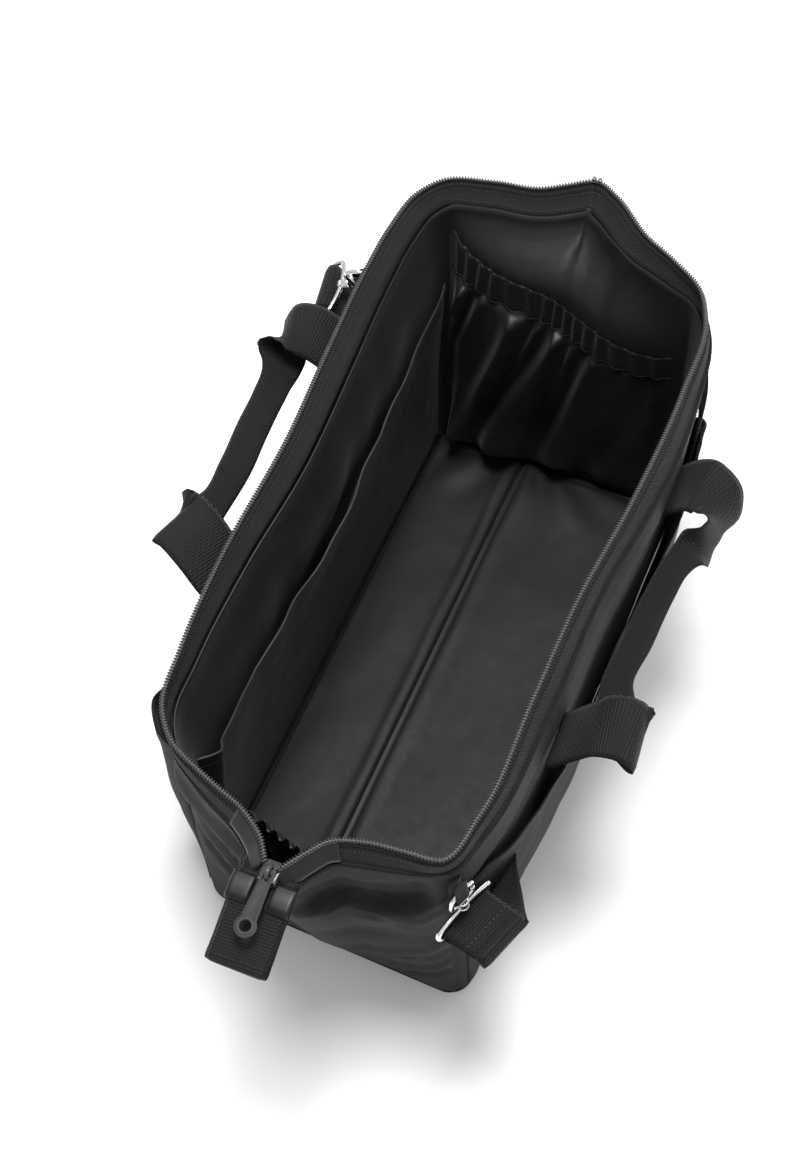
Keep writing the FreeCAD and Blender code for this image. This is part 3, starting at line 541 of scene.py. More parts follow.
def rounded_walls(corners, radius):
    """The four walls of a box with round corners, as ring wants them."""
    corners = np.array(corners, float)
    ahead = unit(np.roll(corners, -1, axis=0) - corners)
    behind = -np.roll(ahead, 1, axis=0)
    turns = corners + (ahead + behind) * radius * 0.29
    after = np.roll(corners, -1, axis=0)
    return [[turns[i], corners[i] + ahead[i] * radius, corners[i] + ahead[i] * radius * 1.8,
             (corners[i] + after[i]) / 2, after[i] - ahead[i] * radius * 1.8,
             after[i] - ahead[i] * radius, turns[(i + 1) % 4]] for i in range(4)]


def with_height(plan, height):
    return np.concatenate([plan, np.broadcast_to(height, (len(plan),))[:, None]], axis=1)


def outward_of(line):
    """Level direction away from the inside of a closed outline, at each of its stations."""
    travel = np.roll(line, -3, axis=0) - np.roll(line, 3, axis=0)
    return unit(np.stack([travel[:, 1], -travel[:, 0], np.zeros(len(line))], axis=1))


STATIONS = sum(COUNTS.values())
WALL_START = dict(zip(COUNTS, np.cumsum([0, *COUNTS.values()])))
U = np.concatenate([wall + np.arange(count) / count for wall, count in enumerate(COUNTS.values())])

coil_ring = with_height(ring(COIL_PLAN), RIM)
coil_ring[:, 2] += 1.2 * np.sin(U * 5.1) - 1.5 * bump(U, 1.68, 0.12)
foot_ring = with_height(ring(rounded_walls(FOOT_CORNERS, FOOT_RADIUS)), FOOT)

# How far the seam stands outside the coil, and how far below it, round the mouth.
SEAM_OUT = [(0, 3), (0.15, 8), (0.5, 8.5), (0.85, 8), (1, 0), (1.2, -10), (1.5, -14), (1.8, -13),
            (2, -12.5), (2.5, -12.5), (2.7, -10), (2.85, -6), (3, -1), (3.14, 4), (3.3, 9),
            (3.7, 9), (3.88, 9), (4, 3)]
SEAM_DROP = [(0, 14), (0.5, 14), (1, 12), (1.5, 10), (2.5, 10), (3, 12), (3.5, 13), (4, 14)]
seam_ring = coil_ring + outward_of(coil_ring) * keyed(U, SEAM_OUT)[:, None]
seam_ring[:, 2] -= keyed(U, SEAM_DROP)


def eased(ring_points, width):
    """Outline with its sharp turns rounded, as cloth on the bias takes them."""
    weights = np.exp(-np.linspace(-2, 2, 2 * width + 1) ** 2)
    weights /= weights.sum()
    return sum(w * np.roll(ring_points, k - width, axis=0) for k, w in enumerate(weights))


seam_ring = eased(seam_ring, 3)
SLIDER_STATION = int(np.argmin(coil_ring[:, 0]))
FAR_STATION = int(np.argmax(coil_ring[:, 0]))


# ---------------------------------------------------------------- skins

BULGE = [(0, 0), (0.5, 7), (1, 0), (1.5, 5), (2, 0), (2.5, 13), (3, 0), (3.5, 6), (4, 0)]
ROWS = 46


def loft(foot, top, swell):
    """Rows of points from the foot outline to the top outline, bellied out between them."""
    rise = np.linspace(0, 1, ROWS)[:, None, None]
    grid = foot[None] + (top - foot)[None] * rise
    belly = 4 * rise[..., 0] * (1 - rise[..., 0]) * keyed(U, swell)[None]
    return grid + outward_of(foot)[None] * belly[..., None]


class Skin:
    """Lofted cloth all round the bag, on which other pieces are laid."""

    def __init__(self, grid):
        self.grid = grid
        self.run = np.zeros(grid.shape[:2]) + np.cumsum(
            np.linalg.norm(np.diff(grid[ROWS // 2], axis=0, prepend=grid[ROWS // 2][:1]), axis=1))
        self.height = grid[..., 2]

    def place(self, wall, share, height):
        """Run and height of a place, for folds."""
        station = WALL_START[wall] + share * COUNTS[wall]
        return np.interp(station, np.arange(STATIONS + 1),
                         np.append(self.run[0], self.run[0][-1] + 6)), height

    def fold(self, wall, start, end, half, rise):
        """Ridge, or valley if rise is negative, from one (share, height) to another."""
        a = np.array(self.place(wall, *start))
        b = np.array(self.place(wall, *end))
        total = self.run[0][-1] + 6
        best = np.full(self.height.shape, 1e9)
        where = np.zeros(self.height.shape)
        for turn in (-total, 0, total):
            p = np.stack([self.run + turn - a[0], self.height - a[1]], axis=-1)
            t = np.clip((p @ (b - a)) / ((b - a) @ (b - a)), 0, 1)
            away = np.linalg.norm(p - t[..., None] * (b - a), axis=-1)
            where = np.where(away < best, t, where)
            best = np.minimum(best, away)
        taper = 0.35 + 0.65 * np.sin(np.pi * np.clip(where, 0.02, 0.98)) ** 0.6
        return rise * np.exp(-((best / half) ** 2)) * taper

    def push(self, distance):
        self.grid = self.grid + normals_of(self.grid, closed=True) * distance[..., None]

    def at(self, wall, share, height, out=0.0):
        """Points on the skin, moved away from it by out. share and height may be arrays."""
        share, height, out = np.broadcast_arrays(np.asarray(share, float), height, out)
        column = (WALL_START[wall] + share * COUNTS[wall]) % STATIONS
        left = np.floor(column).astype(int) % STATIONS
        right = (left + 1) % STATIONS
        part = (column - np.floor(column))[..., None]
        top = self.grid[-1, left, 2] * (1 - part[..., 0]) + self.grid[-1, right, 2] * part[..., 0]
        bottom = self.grid[0, left, 2]
        row = np.clip((height - bottom) / (top - bottom), 0, 0.9999) * (ROWS - 1)
        low = np.floor(row).astype(int)
        lift = (row - low)[..., None]

        def mix(grid):
            lower = grid[low, left] * (1 - part) + grid[low, right] * part
            upper = grid[low + 1, left] * (1 - part) + grid[low + 1, right] * part
            return lower * (1 - lift) + upper * lift

        normal = unit(mix(self.normals))
        return mix(self.grid) + normal * out[..., None]

    def finish(self):
        """Keeps the skin's normals, smoothed a little, for laying pieces on."""
        normals = normals_of(self.grid, closed=True)
        for _ in range(3):
            normals = (normals + np.roll(normals, 2, axis=1) + np.roll(normals, -2, axis=1)) / 3
        self.normals = unit(normals)


HANDLE_SEAMS = {"front": 222, "back": 224}
shell = Skin(loft(foot_ring, seam_ring, BULGE))
rest = shell.grid
soft = noise_at(rest, 70, 1) * 1.6 + noise_at(rest, 28, 2) * 0.7 + noise_at(rest, 11, 3) * 0.2
calm = 0.45 + 0.55 * np.isin(np.floor(U), (1, 3))[None]
shell.push(soft * calm * np.sin(np.linspace(0.15, 0.97, ROWS) * np.pi)[:, None])


def near_belly(skin):
    """Hollow pouch under the tape at the near end, over a slack bulge of cloth."""
    rise = skin.height
    right = (step_up(U, 3.53, 3.64) * (1 - step_up(U, 3.93, 3.99)))[None]
    crease = keyed(U, [(3.5, 212), (3.6, 204), (3.72, 196), (3.85, 196), (3.93, 206),
                       (4, 222)])[None]
    hollow = -6.5 * step_up(rise, crease - 3, crease + 7)
    hollow = hollow * (1 - step_up(rise, crease + 26, crease + 48))
    bulge = 5 * (1 - step_up(rise, crease - 6, crease + 4)) * step_up(rise, 30, 150)
    left = (step_up(U, 3.03, 3.1) * (1 - step_up(U, 3.4, 3.5)))[None]
    ridge = 226 - 60 * (U[None] - 3.05)
    slack = 5 * bump(rise, ridge, 20) - 4 * bump(rise, ridge - 30, 12)
    return right * (hollow + bulge) + left * slack


shell.push(near_belly(shell))
NEAR_FOLDS = [
    # folds that end in the crease, then those that run into the bottom corner
    ((0.66, 190), (0.9, 176), 5, -2.5), ((0.78, 176), (0.97, 188), 5, 3),
    ((0.60, 66), (0.96, 124), 6, 3.2), ((0.62, 52), (0.97, 108), 5, -3),
    ((0.76, 30), (0.985, 80), 5, 3), ((0.78, 16), (0.985, 62), 4, -2.6),
    ((0.58, 130), (0.9, 150), 16, -3),
    # the left part, where the cloth hangs from the other corner
    ((0.08, 214), (0.40, 150), 4.5, 4.5), ((0.06, 188), (0.42, 118), 6, -4),
    ((0.10, 150), (0.46, 96), 6, 3.5), ((0.05, 128), (0.3, 80), 5, -3),
    ((0.14, 90), (0.42, 40), 7, 3), ((0.30, 240), (0.47, 224), 6, -3),
]
for start, end, half, rise in NEAR_FOLDS:
    shell.push(shell.fold("near", start, end, half, rise))
for start, end, half, rise in (((0.1, 90), (0.9, 70), 14, 3), ((0.15, 200), (0.85, 190), 16, -4),
                               ((0.05, 150), (0.4, 120), 9, 3), ((0.6, 126), (0.96, 160), 9, 3),
                               ((0.3, 40), (0.75, 30), 9, -2.5)):
    shell.push(shell.fold("far", start, end, half, rise))
for wall, low in HANDLE_SEAMS.items():
    on_wall = (np.floor(U) == list(COUNTS).index(wall))[None]
    shell.push(on_wall * (1.3 * step_up(shell.height, low - 4, low)
                          - 1.4 * bump(shell.height, low - 5, 5)))
for wall in COUNTS:
    shell.push(shell.fold(wall, (0, 6), (0, 258), 3.2, -2.4))
    shell.push(shell.fold(wall, (0.02, 60), (0.025, 250), 4, 0.9))
shell.finish()

under = [(9, 0.4), (4.5, 0.9), (1.6, 2.2)]
turned_under = [with_height(shell.grid[0, :, :2], z) - outward_of(foot_ring) * inward
                for inward, z in under]
shell_grid = np.concatenate([np.array(turned_under), shell.grid])
outer_shell = sheet_object("outer_shell", shell_grid, 2.2, OUTER, closed=True)
settle(outer_shell, "bag", "outer_cloth", "front_wall", "back_wall", "near_end_wall",
       "far_end_wall")

# The lining follows the shell's undented loft a little way in.
LINING_IN = 4.4
BACK_ROLL = 17
FAR_FALL = 38
lining = Skin(loft(foot_ring, seam_ring, BULGE))
lining.push(np.minimum(near_belly(lining), 0) - LINING_IN)
on_back = bump(U, 2.5, 0.62)[None]
roll = 1 + 0.07 * np.sin(U * 23)[None] + 0.05 * np.sin(U * 51)[None]
# It rolls inward under the tape along the back wall, ...
slope = (1 - step_up(lining.height, 208, 256)) * step_up(lining.height, 90, 205)
lining.push(-BACK_ROLL * on_back * slope * roll)
# ... and falls away from the far point, in a round sweep.
far_share = np.clip(U - 1, 0, 1)
far_mouth = (203 + 44 * far_share)[None]
falling = step_up(lining.height, 10, 200) * (1 - step_up(lining.height, far_mouth - 4, 264))
lining.grid[..., 0] -= FAR_FALL * np.sin(np.pi * far_share)[None] ** 0.9 * falling
rounding = 0.5 * falling * step_up(far_share, 0, 0.1) * (1 - step_up(far_share, 0.9, 1))
for _ in range(90):
    beside = (np.roll(lining.grid, 1, axis=1) + np.roll(lining.grid, -1, axis=1)) / 2
    lining.grid += (beside - lining.grid) * rounding[..., None]
wrinkled = noise_at(lining.grid, 45, 5) * 1.7 + noise_at(lining.grid, 16, 6) * 0.5
lining.push(-np.abs(wrinkled) * (1 - 0.75 * on_back)
            * np.sin(np.linspace(0.1, 1, ROWS) * np.pi)[:, None])
for wall, start, end, half, rise in (
        ("far", (0.46, 262), (0.5, 222), 9, -3), ("far", (0.30, 262), (0.34, 214), 9, 3),
        ("back", (0.3, 236), (0.36, 252), 4, -1.5), ("back", (0.62, 234), (0.7, 254), 4, -2),
        ("front", (0.1, 200), (0.9, 180), 14, -2.5), ("near", (0.3, 250), (0.3, 160), 9, -3),
        ("near", (0.75, 250), (0.72, 160), 9, -3)):
    lining.push(lining.fold(wall, start, end, half, rise))
lining.finish()
lining_piece = sheet_object("inner_lining", lining.grid, 0.8, SATIN, closed=True)
settle(lining_piece, "bag", "lining_cloth", "front_lining", "back_lining", "near_end_lining",
       "far_end_lining")


# ---------------------------------------------------------------- bottom and boards

# Slopes that set a level slab to the foot outline.
FOOT_SKEW = 0.038
FOOT_TURN = 0.0089


def slab_grid(length, width, middle, radius, height, columns=120, rows=56):
    """Flat grid with round corners, set to the foot outline, which isn't quite square."""
    x, y = np.meshgrid(np.linspace(-1, 1, columns) * length / 2, np.linspace(-1, 1, rows) * width / 2)
    dx = np.abs(x) - (length / 2 - radius)
    dy = np.abs(y) - (width / 2 - radius)
    corner = (dx > 0) & (dy > 0)
    shrink = np.where(corner, np.maximum(dx, dy) / np.maximum(np.hypot(dx, dy), 1e-6), 1)
    x = np.where(corner, np.sign(x) * (length / 2 - radius + dx * shrink), x)
    y = np.where(corner, np.sign(y) * (width / 2 - radius + dy * shrink), y)
    edge = np.minimum(length / 2 - np.abs(x), width / 2 - np.abs(y))
    y = y + middle
    level = np.full(x.shape, float(height))
    return np.stack([x + FOOT_SKEW * y, y - FOOT_TURN * x, level], axis=-1), edge


BOTTOM_SIZE = (447, 209)
FLOOR_SIZE = (443, 205)
MID_Y = 1
bottom, bottom_edge = slab_grid(*BOTTOM_SIZE, MID_Y, FOOT_RADIUS, 2.4)
bottom[..., 2] += 0.5 * noise_at(bottom, 60, 8) * step_up(bottom_edge, 4, 40)
bottom_piece = sheet_object("bottom_cloth", bottom, 2.2, OUTER)
settle(bottom_piece, "bag", "outer_cloth", "bottom_panel")

inside, _ = slab_grid(*FLOOR_SIZE, MID_Y, FOOT_RADIUS, 4.4)
inside[..., 2] += 0.2 * noise_at(inside, 30, 9)
inside_piece = sheet_object("floor_cloth", inside, 0.8, SATIN)
settle(inside_piece, "bag", "lining_cloth", "floor_lining")


LEAF_LENGTH = 428
LEAF_THICKNESS = 3.4
LEAF_TOP = 8.6


def board_leaf(name, body, node, y_from, y_to, fold_side):
    """Stiff leaf covered in lining cloth, its edges rounded and its cover puckered at the ends."""
    width = y_to - y_from
    grid, edge = slab_grid(LEAF_LENGTH, width, (y_from + y_to) / 2, 6, LEAF_TOP)
    x, y = grid[..., 0], grid[..., 1]
    round_edge = 2.8 * (1 - np.sqrt(np.clip(1 - (1 - np.clip(edge, 0, 3) / 3) ** 2, 0, 1)))
    from_fold = np.abs(y + FOOT_TURN * x - (y_to if fold_side > 0 else y_from))
    fan = np.arctan2(from_fold, np.maximum(250 - x, 1))
    pucker = bump(x, 196, 46) * np.sin(fan * 13) * step_up(from_fold, 0, 12)
    pucker += 0.6 * bump(x, -205, 30) * np.sin(y * 0.35 + x * 0.05)
    loose = noise_at(grid, 48, 11) * 0.9 + noise_at(grid, 17, 12) * 0.25
    roll = 1.2 * bump(from_fold, 7, 6)
    grid[..., 2] += (loose + 1.3 * pucker) * step_up(edge, 0, 12) + roll - round_edge
    leaf = sheet_object(name, grid, LEAF_THICKNESS, BOARD)
    return settle(leaf, body, "board_cover", node)


board_leaf("board_front_cover", "bag", "base_board_front", -99, 23.4, 1)
board_leaf("board_back_cover", "board_leaf", "base_board_back", 26.6, 99, -1)


# ---------------------------------------------------------------- pockets

HEM = 11


def pocket_object(name, skin, wall, mouths, gaps, foot, side, material, start, end, wrinkle=0.8):
    """Open topped pocket with a turned hem. side is 1 outside the wall and -1 inside it.

    mouths and gaps give the mouth's height, and how far it stands off, at shares of the wall.
    """
    share = np.linspace(start, end, 150)
    mouth = keyed(share, mouths)
    gap = np.maximum(keyed(share, gaps), 0)
    levels = np.linspace(0, 1, 34)
    heights = [foot + (mouth - HEM - foot) * level for level in levels[:-1]]
    heights += [mouth - HEM - 0.8, mouth - HEM + 0.2, mouth - HEM * 0.5, mouth - 1, mouth]
    heights = np.array(heights)
    rise = (heights - foot) / (mouth - foot)
    hem = step_up(heights, mouth - HEM - 0.8, mouth - HEM + 0.2) * 0.8
    out = 1.0 + gap * (0.15 + 0.85 * step_up(rise, 0, 0.6))
    base = skin.at(wall, share[None] + 0 * heights, heights, 0)
    free = step_up(np.minimum(share - start, end - share), 0, 0.05)[None]
    loose = np.abs(noise_at(base, 42, 21 + side)) * 2.4 + noise_at(base, 15, 23) * 0.5
    out = out + hem + wrinkle * loose * free * np.clip(rise * 3, 0, 1)
    grid = skin.at(wall, share[None] + 0 * heights, heights, side * out)
    if side < 0:
        grid = grid[:, ::-1]
    piece = sheet_object(name, grid, 1.2, material)
    line = grid[-5]
    lift = normals_of(grid)[-5]
    row = stitch_row(name + "_hem_stitches", line + lift * 0.3, lift)
    return piece, row, grid


def flat_size(grid):
    """Width and height of the cloth that a grid shows, in metres."""
    width = lengths(grid[len(grid) // 2])[-1] * MM
    height = lengths(grid[:, grid.shape[1] // 2])[-1] * MM
    return round(width, 3), round(height, 3)


front_pocket, front_hem, front_grid = pocket_object(
    "front_pocket_cloth", shell, "front",
    [(0.02, 230), (0.07, 217), (0.13, 203), (0.25, 186), (0.5, 188), (0.75, 198), (0.86, 198),
     (0.92, 178), (0.965, 150)],
    [(0.02, 0.5), (0.07, 2.5), (0.13, 4.5), (0.25, 8), (0.5, 8), (0.86, 8), (0.93, 6), (0.965, 0.5)],
    7, 1, POCKET, 0.02, 0.965)
back_pocket, back_hem, back_grid = pocket_object(
    "back_pocket_cloth", shell, "back",
    [(0.03, 214), (0.1, 200), (0.3, 176), (0.5, 172), (0.72, 176), (0.86, 196), (0.93, 206),
     (0.99, 212)],
    [(0.03, 0.5), (0.1, 9), (0.3, 11), (0.72, 13), (0.86, 20), (0.95, 21), (0.99, 0.5)],
    7, 1, POCKET, 0.03, 0.99)
slip_pocket, slip_hem, slip_grid = pocket_object(
    "slip_pocket_cloth", lining, "back",
    [(0.03, 198), (0.1, 197), (0.3, 195), (0.5, 194), (0.7, 195), (0.9, 199), (0.995, 202)],
    [(0.03, 0.5), (0.08, 6), (0.13, 7), (0.25, 8), (0.5, 9), (0.72, 9), (0.84, 8), (0.94, 11),
     (0.975, 11), (0.995, 0.5)],
    12, -1, SATIN, 0.03, 0.995, wrinkle=0.4)
for piece, row, grid, slot, node in (
        (front_pocket, front_hem, front_grid, "outer_cloth", "front_pocket"),
        (back_pocket, back_hem, back_grid, "outer_cloth", "back_pocket"),
        (slip_pocket, slip_hem, slip_grid, "lining_cloth", "inner_slip_pocket")):
    settle(piece, "bag", slot, node)
    settle(row, "bag", slot)
    flat_size(grid)

CASING = 0.87


def gathered_pocket(name, wall, ends, reach, gathers, slant, seed, sag):
    """Pocket drawn up by elastic, with folds that run down from its mouth to a slack foot.

    ends are the share and height of the mouth's two ends. The elastic cuts the corner between
    them: with reach 1 it runs straight, and with reach 0 it keeps to the wall.
    """
    (start, start_height), (end, end_height) = ends
    across = np.linspace(0, 1, 280)
    share = start + (end - start) * across
    level = np.concatenate([np.linspace(0, CASING - 0.01, 46), np.linspace(CASING, 1, 14)])[:, None]
    edge = start_height + (end_height - start_height) * across - sag * np.sin(np.pi * across)
    heights = 11 + (edge[None] - 11) * level
    rise = np.broadcast_to(level, heights.shape)
    wall_grid = lining.at(wall, share[None] + 0 * heights, heights, -1.2)
    first, last = wall_grid[-1, 0], wall_grid[-1, -1]
    chord = first + (last - first) * across[:, None]
    inward = unit(np.cross([0, 0, 1], last - first))
    gap = np.maximum((chord - wall_grid[-1]) @ inward, 0) * reach

    lane = across[None] - slant * (1 - rise)
    field = np.stack([lane * 60, rise * 12, np.zeros(rise.shape)], axis=-1)
    drift = noise_at(field, 11, seed) * 0.6
    fine = (0.5 + 0.5 * np.cos(2 * np.pi * (lane * gathers + drift))) ** 1.6
    coarse = (0.5 + 0.5 * np.cos(2 * np.pi * (lane * gathers * 0.45 + drift * 0.7 + 0.25))) ** 1.4
    ruffle = np.cos(2 * np.pi * (across[None] * gathers * 1.7 + drift))
    in_casing = step_up(rise, CASING - 0.01, CASING + 0.01)
    drawn = step_up(rise, 0.25, 0.85)
    folds = 8 * fine * drawn + 17 * coarse * (1 - 0.5 * drawn)
    folds = folds * (0.3 + 0.7 * step_up(across, 0.15, 0.5))
    shelf = 13 * step_up(rise, 0, 0.04) * (1 - step_up(rise, 0.13, 0.34))
    shelf = shelf * (0.4 + 0.6 * step_up(across, 0.3, 0.7))
    free = step_up(np.minimum(across, 1 - across), 0, 0.07)[None]
    loose = (folds * (1 - in_casing) * step_up(rise, 0, 0.12) + in_casing * (3.5 + 1.5 * ruffle)
             - 2.2 * bump(rise, CASING, 0.012) + shelf)
    grid = wall_grid + inward * (gap * rise + loose * free)[..., None]
    grid[..., 2] += 1.6 * ruffle * step_up(rise, CASING, 1) * free
    grid = grid[:, ::-1]
    piece = sheet_object(name, grid, 0.8, SATIN)
    lift = normals_of(grid)[47]
    casing = stitch_row(name + "_casing_stitches", grid[47] + lift * 0.3, lift, 2.4)
    return piece, casing, grid


for name, wall, ends, reach, slant, seed, sag, flat, nodes in (
        ("far_gathered_pocket", "far", ((0.05, 203), (0.965, 247)), 1.0, 0.3, 31, 5, (0.28, 0.22),
         ("far_elastic_pocket", "far_pocket_elastic")),
        ("near_gathered_pocket", "near", ((0.1, 194), (0.92, 194)), 0.74, 0.1, 37, 4, (0.24, 0.18),
         ("near_elastic_pocket", "near_pocket_elastic"))):
    piece, casing, grid = gathered_pocket(name, wall, ends, reach, 9, slant, seed, sag)
    settle(piece, "bag", "lining_cloth", *nodes)
    settle(casing, "bag", "elastic")


# ---------------------------------------------------------------- zip

def stations_between(first, last):
    """Station numbers from one to another, going round past the start if need be."""
    count = (last - first) % STATIONS
    return (first + np.arange(count + 1)) % STATIONS


TAPE_ROWS = 25


def tape_grid(numbers):
    """Half of the tape, from seam to coil, crowned and with a groove beside the teeth."""
    low = seam_ring[numbers] - np.array([0, 0, 2.5])
    low = low - outward_of(seam_ring)[numbers] * 1.0
    high = coil_ring[numbers] - np.array([0, 0, 0.6])
    rise = np.linspace(0, 1, TAPE_ROWS)[:, None, None]
    grid = low[None] + (high - low)[None] * rise
    lean = unit(np.cross(np.gradient(high, axis=0), high - low))
    crown = 1.6 * np.sin(np.pi * rise) + 0.5 * noise_at(grid, 34, 41)[..., None] * np.sin(np.pi * rise)
    crown = crown - 1.1 * bump(rise, 0.76, 0.05) + 0.5 * bump(rise, 0.88, 0.06)
    return grid + lean[None] * crown


TOOTH_PITCH = 2.1
SLIDER_POINT = (-280, -12)
halves = {
    "front": stations_between(SLIDER_STATION, FAR_STATION + 1),
    "back": stations_between(FAR_STATION - 1, SLIDER_STATION),
}
for side, numbers in halves.items():
    grid = tape_grid(numbers)
    tape = sheet_object(side + "_tape", grid, 0.8, TAPE)
    uv = tape.data.uv_layers["UVMap"].data
    turned = np.zeros(len(uv) * 2, np.float32)
    uv.foreach_get("uv", turned)
    uv.foreach_set("uv", turned.reshape(-1, 2)[:, ::-1].ravel())
    settle(tape, "bag", "zip_tape", side + "_zip_tape")
    path = coil_ring[numbers]
    path = path[np.hypot(*(path[:, :2] - SLIDER_POINT).T) > 6]
    path = spaced(path, int(lengths(path)[-1] / TOOTH_PITCH))
    forward = np.gradient(path, axis=0)
    upright = np.tile([0.0, 0.0, 1.0], (len(path), 1))
    slant = unit(forward) + 0.28 * unit(np.cross(upright, forward))
    teeth = beads_object(side + "_coil_teeth", path + [0, 0, 0.6], slant, upright,
                         (1.35, 4.2, 2.7), COIL)
    settle(teeth, "bag", "zip_coil", side + "_zip_coil")
    core = tube_object(side + "_coil_core", path[::3], 0.85, COIL, per_span=2)
    settle(core, "bag", "zip_coil")
    for row, suffix, pitch in ((3, "seam", 3.0), (15, "edge", 2.6)):
        lift = normals_of(grid)[row]
        for face, sign in (("out", 1), ("in", -1)):
            offset = 0.15 if sign > 0 else 0.95
            stitches = stitch_row(f"{side}_tape_{suffix}_stitches_{face}",
                                  grid[row] + lift * sign * offset, lift * sign, pitch,
                                  (2.0, 0.6, 0.45))
            settle(stitches, "bag", "zip_tape")


def stitch_wall(name, wall, share, height):
    """Stitches on the shell, at a height or one height for each share."""
    line = shell.at(wall, share, height, 0.2)
    lift = shell.at(wall, share, height, 1.2) - line
    settle(stitch_row(name, line, lift), "bag", "outer_cloth")


# Top stitching on the shell just under the tape, and along the handles' seam.
for wall in ("front", "near"):
    share = np.linspace(0.02, 0.98, 160)
    top = shell.grid[-1, (WALL_START[wall] + share * COUNTS[wall]).astype(int), 2]
    stitch_wall(wall + "_top_stitches", wall, share, top - 3.0)
for wall, level in HANDLE_SEAMS.items():
    stitch_wall(wall + "_handle_seam_stitches", wall, np.linspace(0.03, 0.97, 160), level + 2.5)


# ---------------------------------------------------------------- slider, pull and end tab

SLIDER = Vector((-281, -12, 270))


def placed(origin, slope=0.0):
    """Matrix that takes a piece's own millimetres to its place, tipped down toward -X."""
    turn = Matrix.Rotation(math.radians(-slope), 4, "Y")
    return Matrix.Translation(Vector(origin) * MM) @ turn


def rounded_outline(corners, radius, steps=6):
    """Outline of a convex shape with round corners."""
    outline = []
    count = len(corners)
    for number, corner in enumerate(corners):
        corner = Vector(corner)
        before = (Vector(corners[number - 1]) - corner).normalized()
        after = (Vector(corners[(number + 1) % count]) - corner).normalized()
        half_turn = before.angle(after) / 2
        reach = radius / math.tan(half_turn)
        start, stop = corner + before * reach, corner + after * reach
        for step in range(steps + 1):
            t = step / steps
            outline.append(tuple((1 - t) ** 2 * start + 2 * t * (1 - t) * corner + t * t * stop))
    return outline


def circle(x, y, radius, steps=32):
    angles = [a * 2 * math.pi / steps for a in range(steps)]
    return [(x + radius * math.cos(a), y + radius * math.sin(a)) for a in angles]


SLIDER_PLAN = [(-7.2, -3.6), (-4, -5.6), (4.5, -6.2), (7.4, -4), (7.4, 4), (4.5, 6.2), (-4, 5.6),
               (-7.2, 3.6)]
for part, level, thick in (("lower", 0.7, 1.4), ("upper", 5.0, 1.6)):
    plate = plate_object(f"slider_{part}_plate", [rounded_outline(SLIDER_PLAN, 1.0)], thick, 0.5,
                         SLIDER_ENAMEL, placed(SLIDER + Vector((0, 0, level))))
    settle(plate, "slider", "slider_enamel", *(["zip_slider"] if part == "upper" else []))
sides = blocks_object("slider_sides", [((-6.5, -5.6, 0.6), (4, -4.5, 5)),
                                       ((-6.5, 4.5, 0.6), (4, 5.6, 5)),
                                       ((4.2, -1.5, 1), (7, 1.5, 5))],
                      SLIDER_ENAMEL, placed(SLIDER), 0.4)
settle(sides, "slider", "slider_enamel")
crown_points = [(-5.2, 5.6), (-5.0, 8.4), (-3.4, 10.4), (-0.6, 10.8), (1.8, 9.9), (3.0, 8.0),
                (3.4, 5.6)]
crown = tube_object("slider_crown", [SLIDER + Vector((x, 0, z)) for x, z in crown_points], 1.35,
                    SLIDER_ENAMEL)
settle(crown, "slider", "slider_enamel")

PULL_PIVOT = (-282.6, -12, 277.4)
PULL_SLOPE = 8
PULL_END = -34.1
neck = [(2.2, -4.1), (2.2, 4.1), (-6.5, 3.9), (-27, 5.2)]
head = [(PULL_END + 7.0 * math.cos(a), 7.0 * math.sin(a))
        for a in np.radians(np.linspace(50, 310, 26))]
pull_outline = neck + head + [(-27, -5.2), (-6.5, -3.9)]
window = rounded_outline([(-5.4, -2.2), (-1.0, -2.2), (-1.0, 2.2), (-5.4, 2.2)], 0.7)
pull = plate_object("pull_blade", [pull_outline, circle(PULL_END, 0, 3.5), window], 1.8, 0.45,
                    PULL_ENAMEL, placed(PULL_PIVOT, PULL_SLOPE))
settle(pull, "pull", "pull_enamel", "pull_tab")
turn = placed(PULL_PIVOT, PULL_SLOPE)
rim_points = [turn @ (Vector((x, y, 0.8)) * MM) / MM for x, y in circle(PULL_END, 0, 4.5, 20)]
pull_rim = tube_object("pull_rim", rim_points, 0.75, PULL_ENAMEL, closed=True, per_span=3)
settle(pull_rim, "pull", "pull_enamel")

END_TAB = Vector((-286, -10, 264))
END_SLOPE = 12
tab_turn = placed(END_TAB, END_SLOPE)


def in_tab(x, y, z):
    return np.array(tab_turn @ (Vector((x, y, z)) * MM)) / MM


HALF_WEB = 20
tab_path = [(14, -1.2), (0, -0.9), (-20, -1.2), (-44, -2.4), (-50.5, -1.9), (-52, 0.4), (-50, 2.2),
            (-44, 1.7), (-20, 2.0), (-2, 2.6), (6, 2.8)]
across = np.array([0.0, 1.0, 0.0])
end_tab = ribbon_object("end_tab_webbing", [(in_tab(x, 0.04 * x, z), across, HALF_WEB)
                                            for x, z in tab_path], 2.0, WEBBING, 1.5)
settle(end_tab, "bag", "webbing", "zip_end_tab")

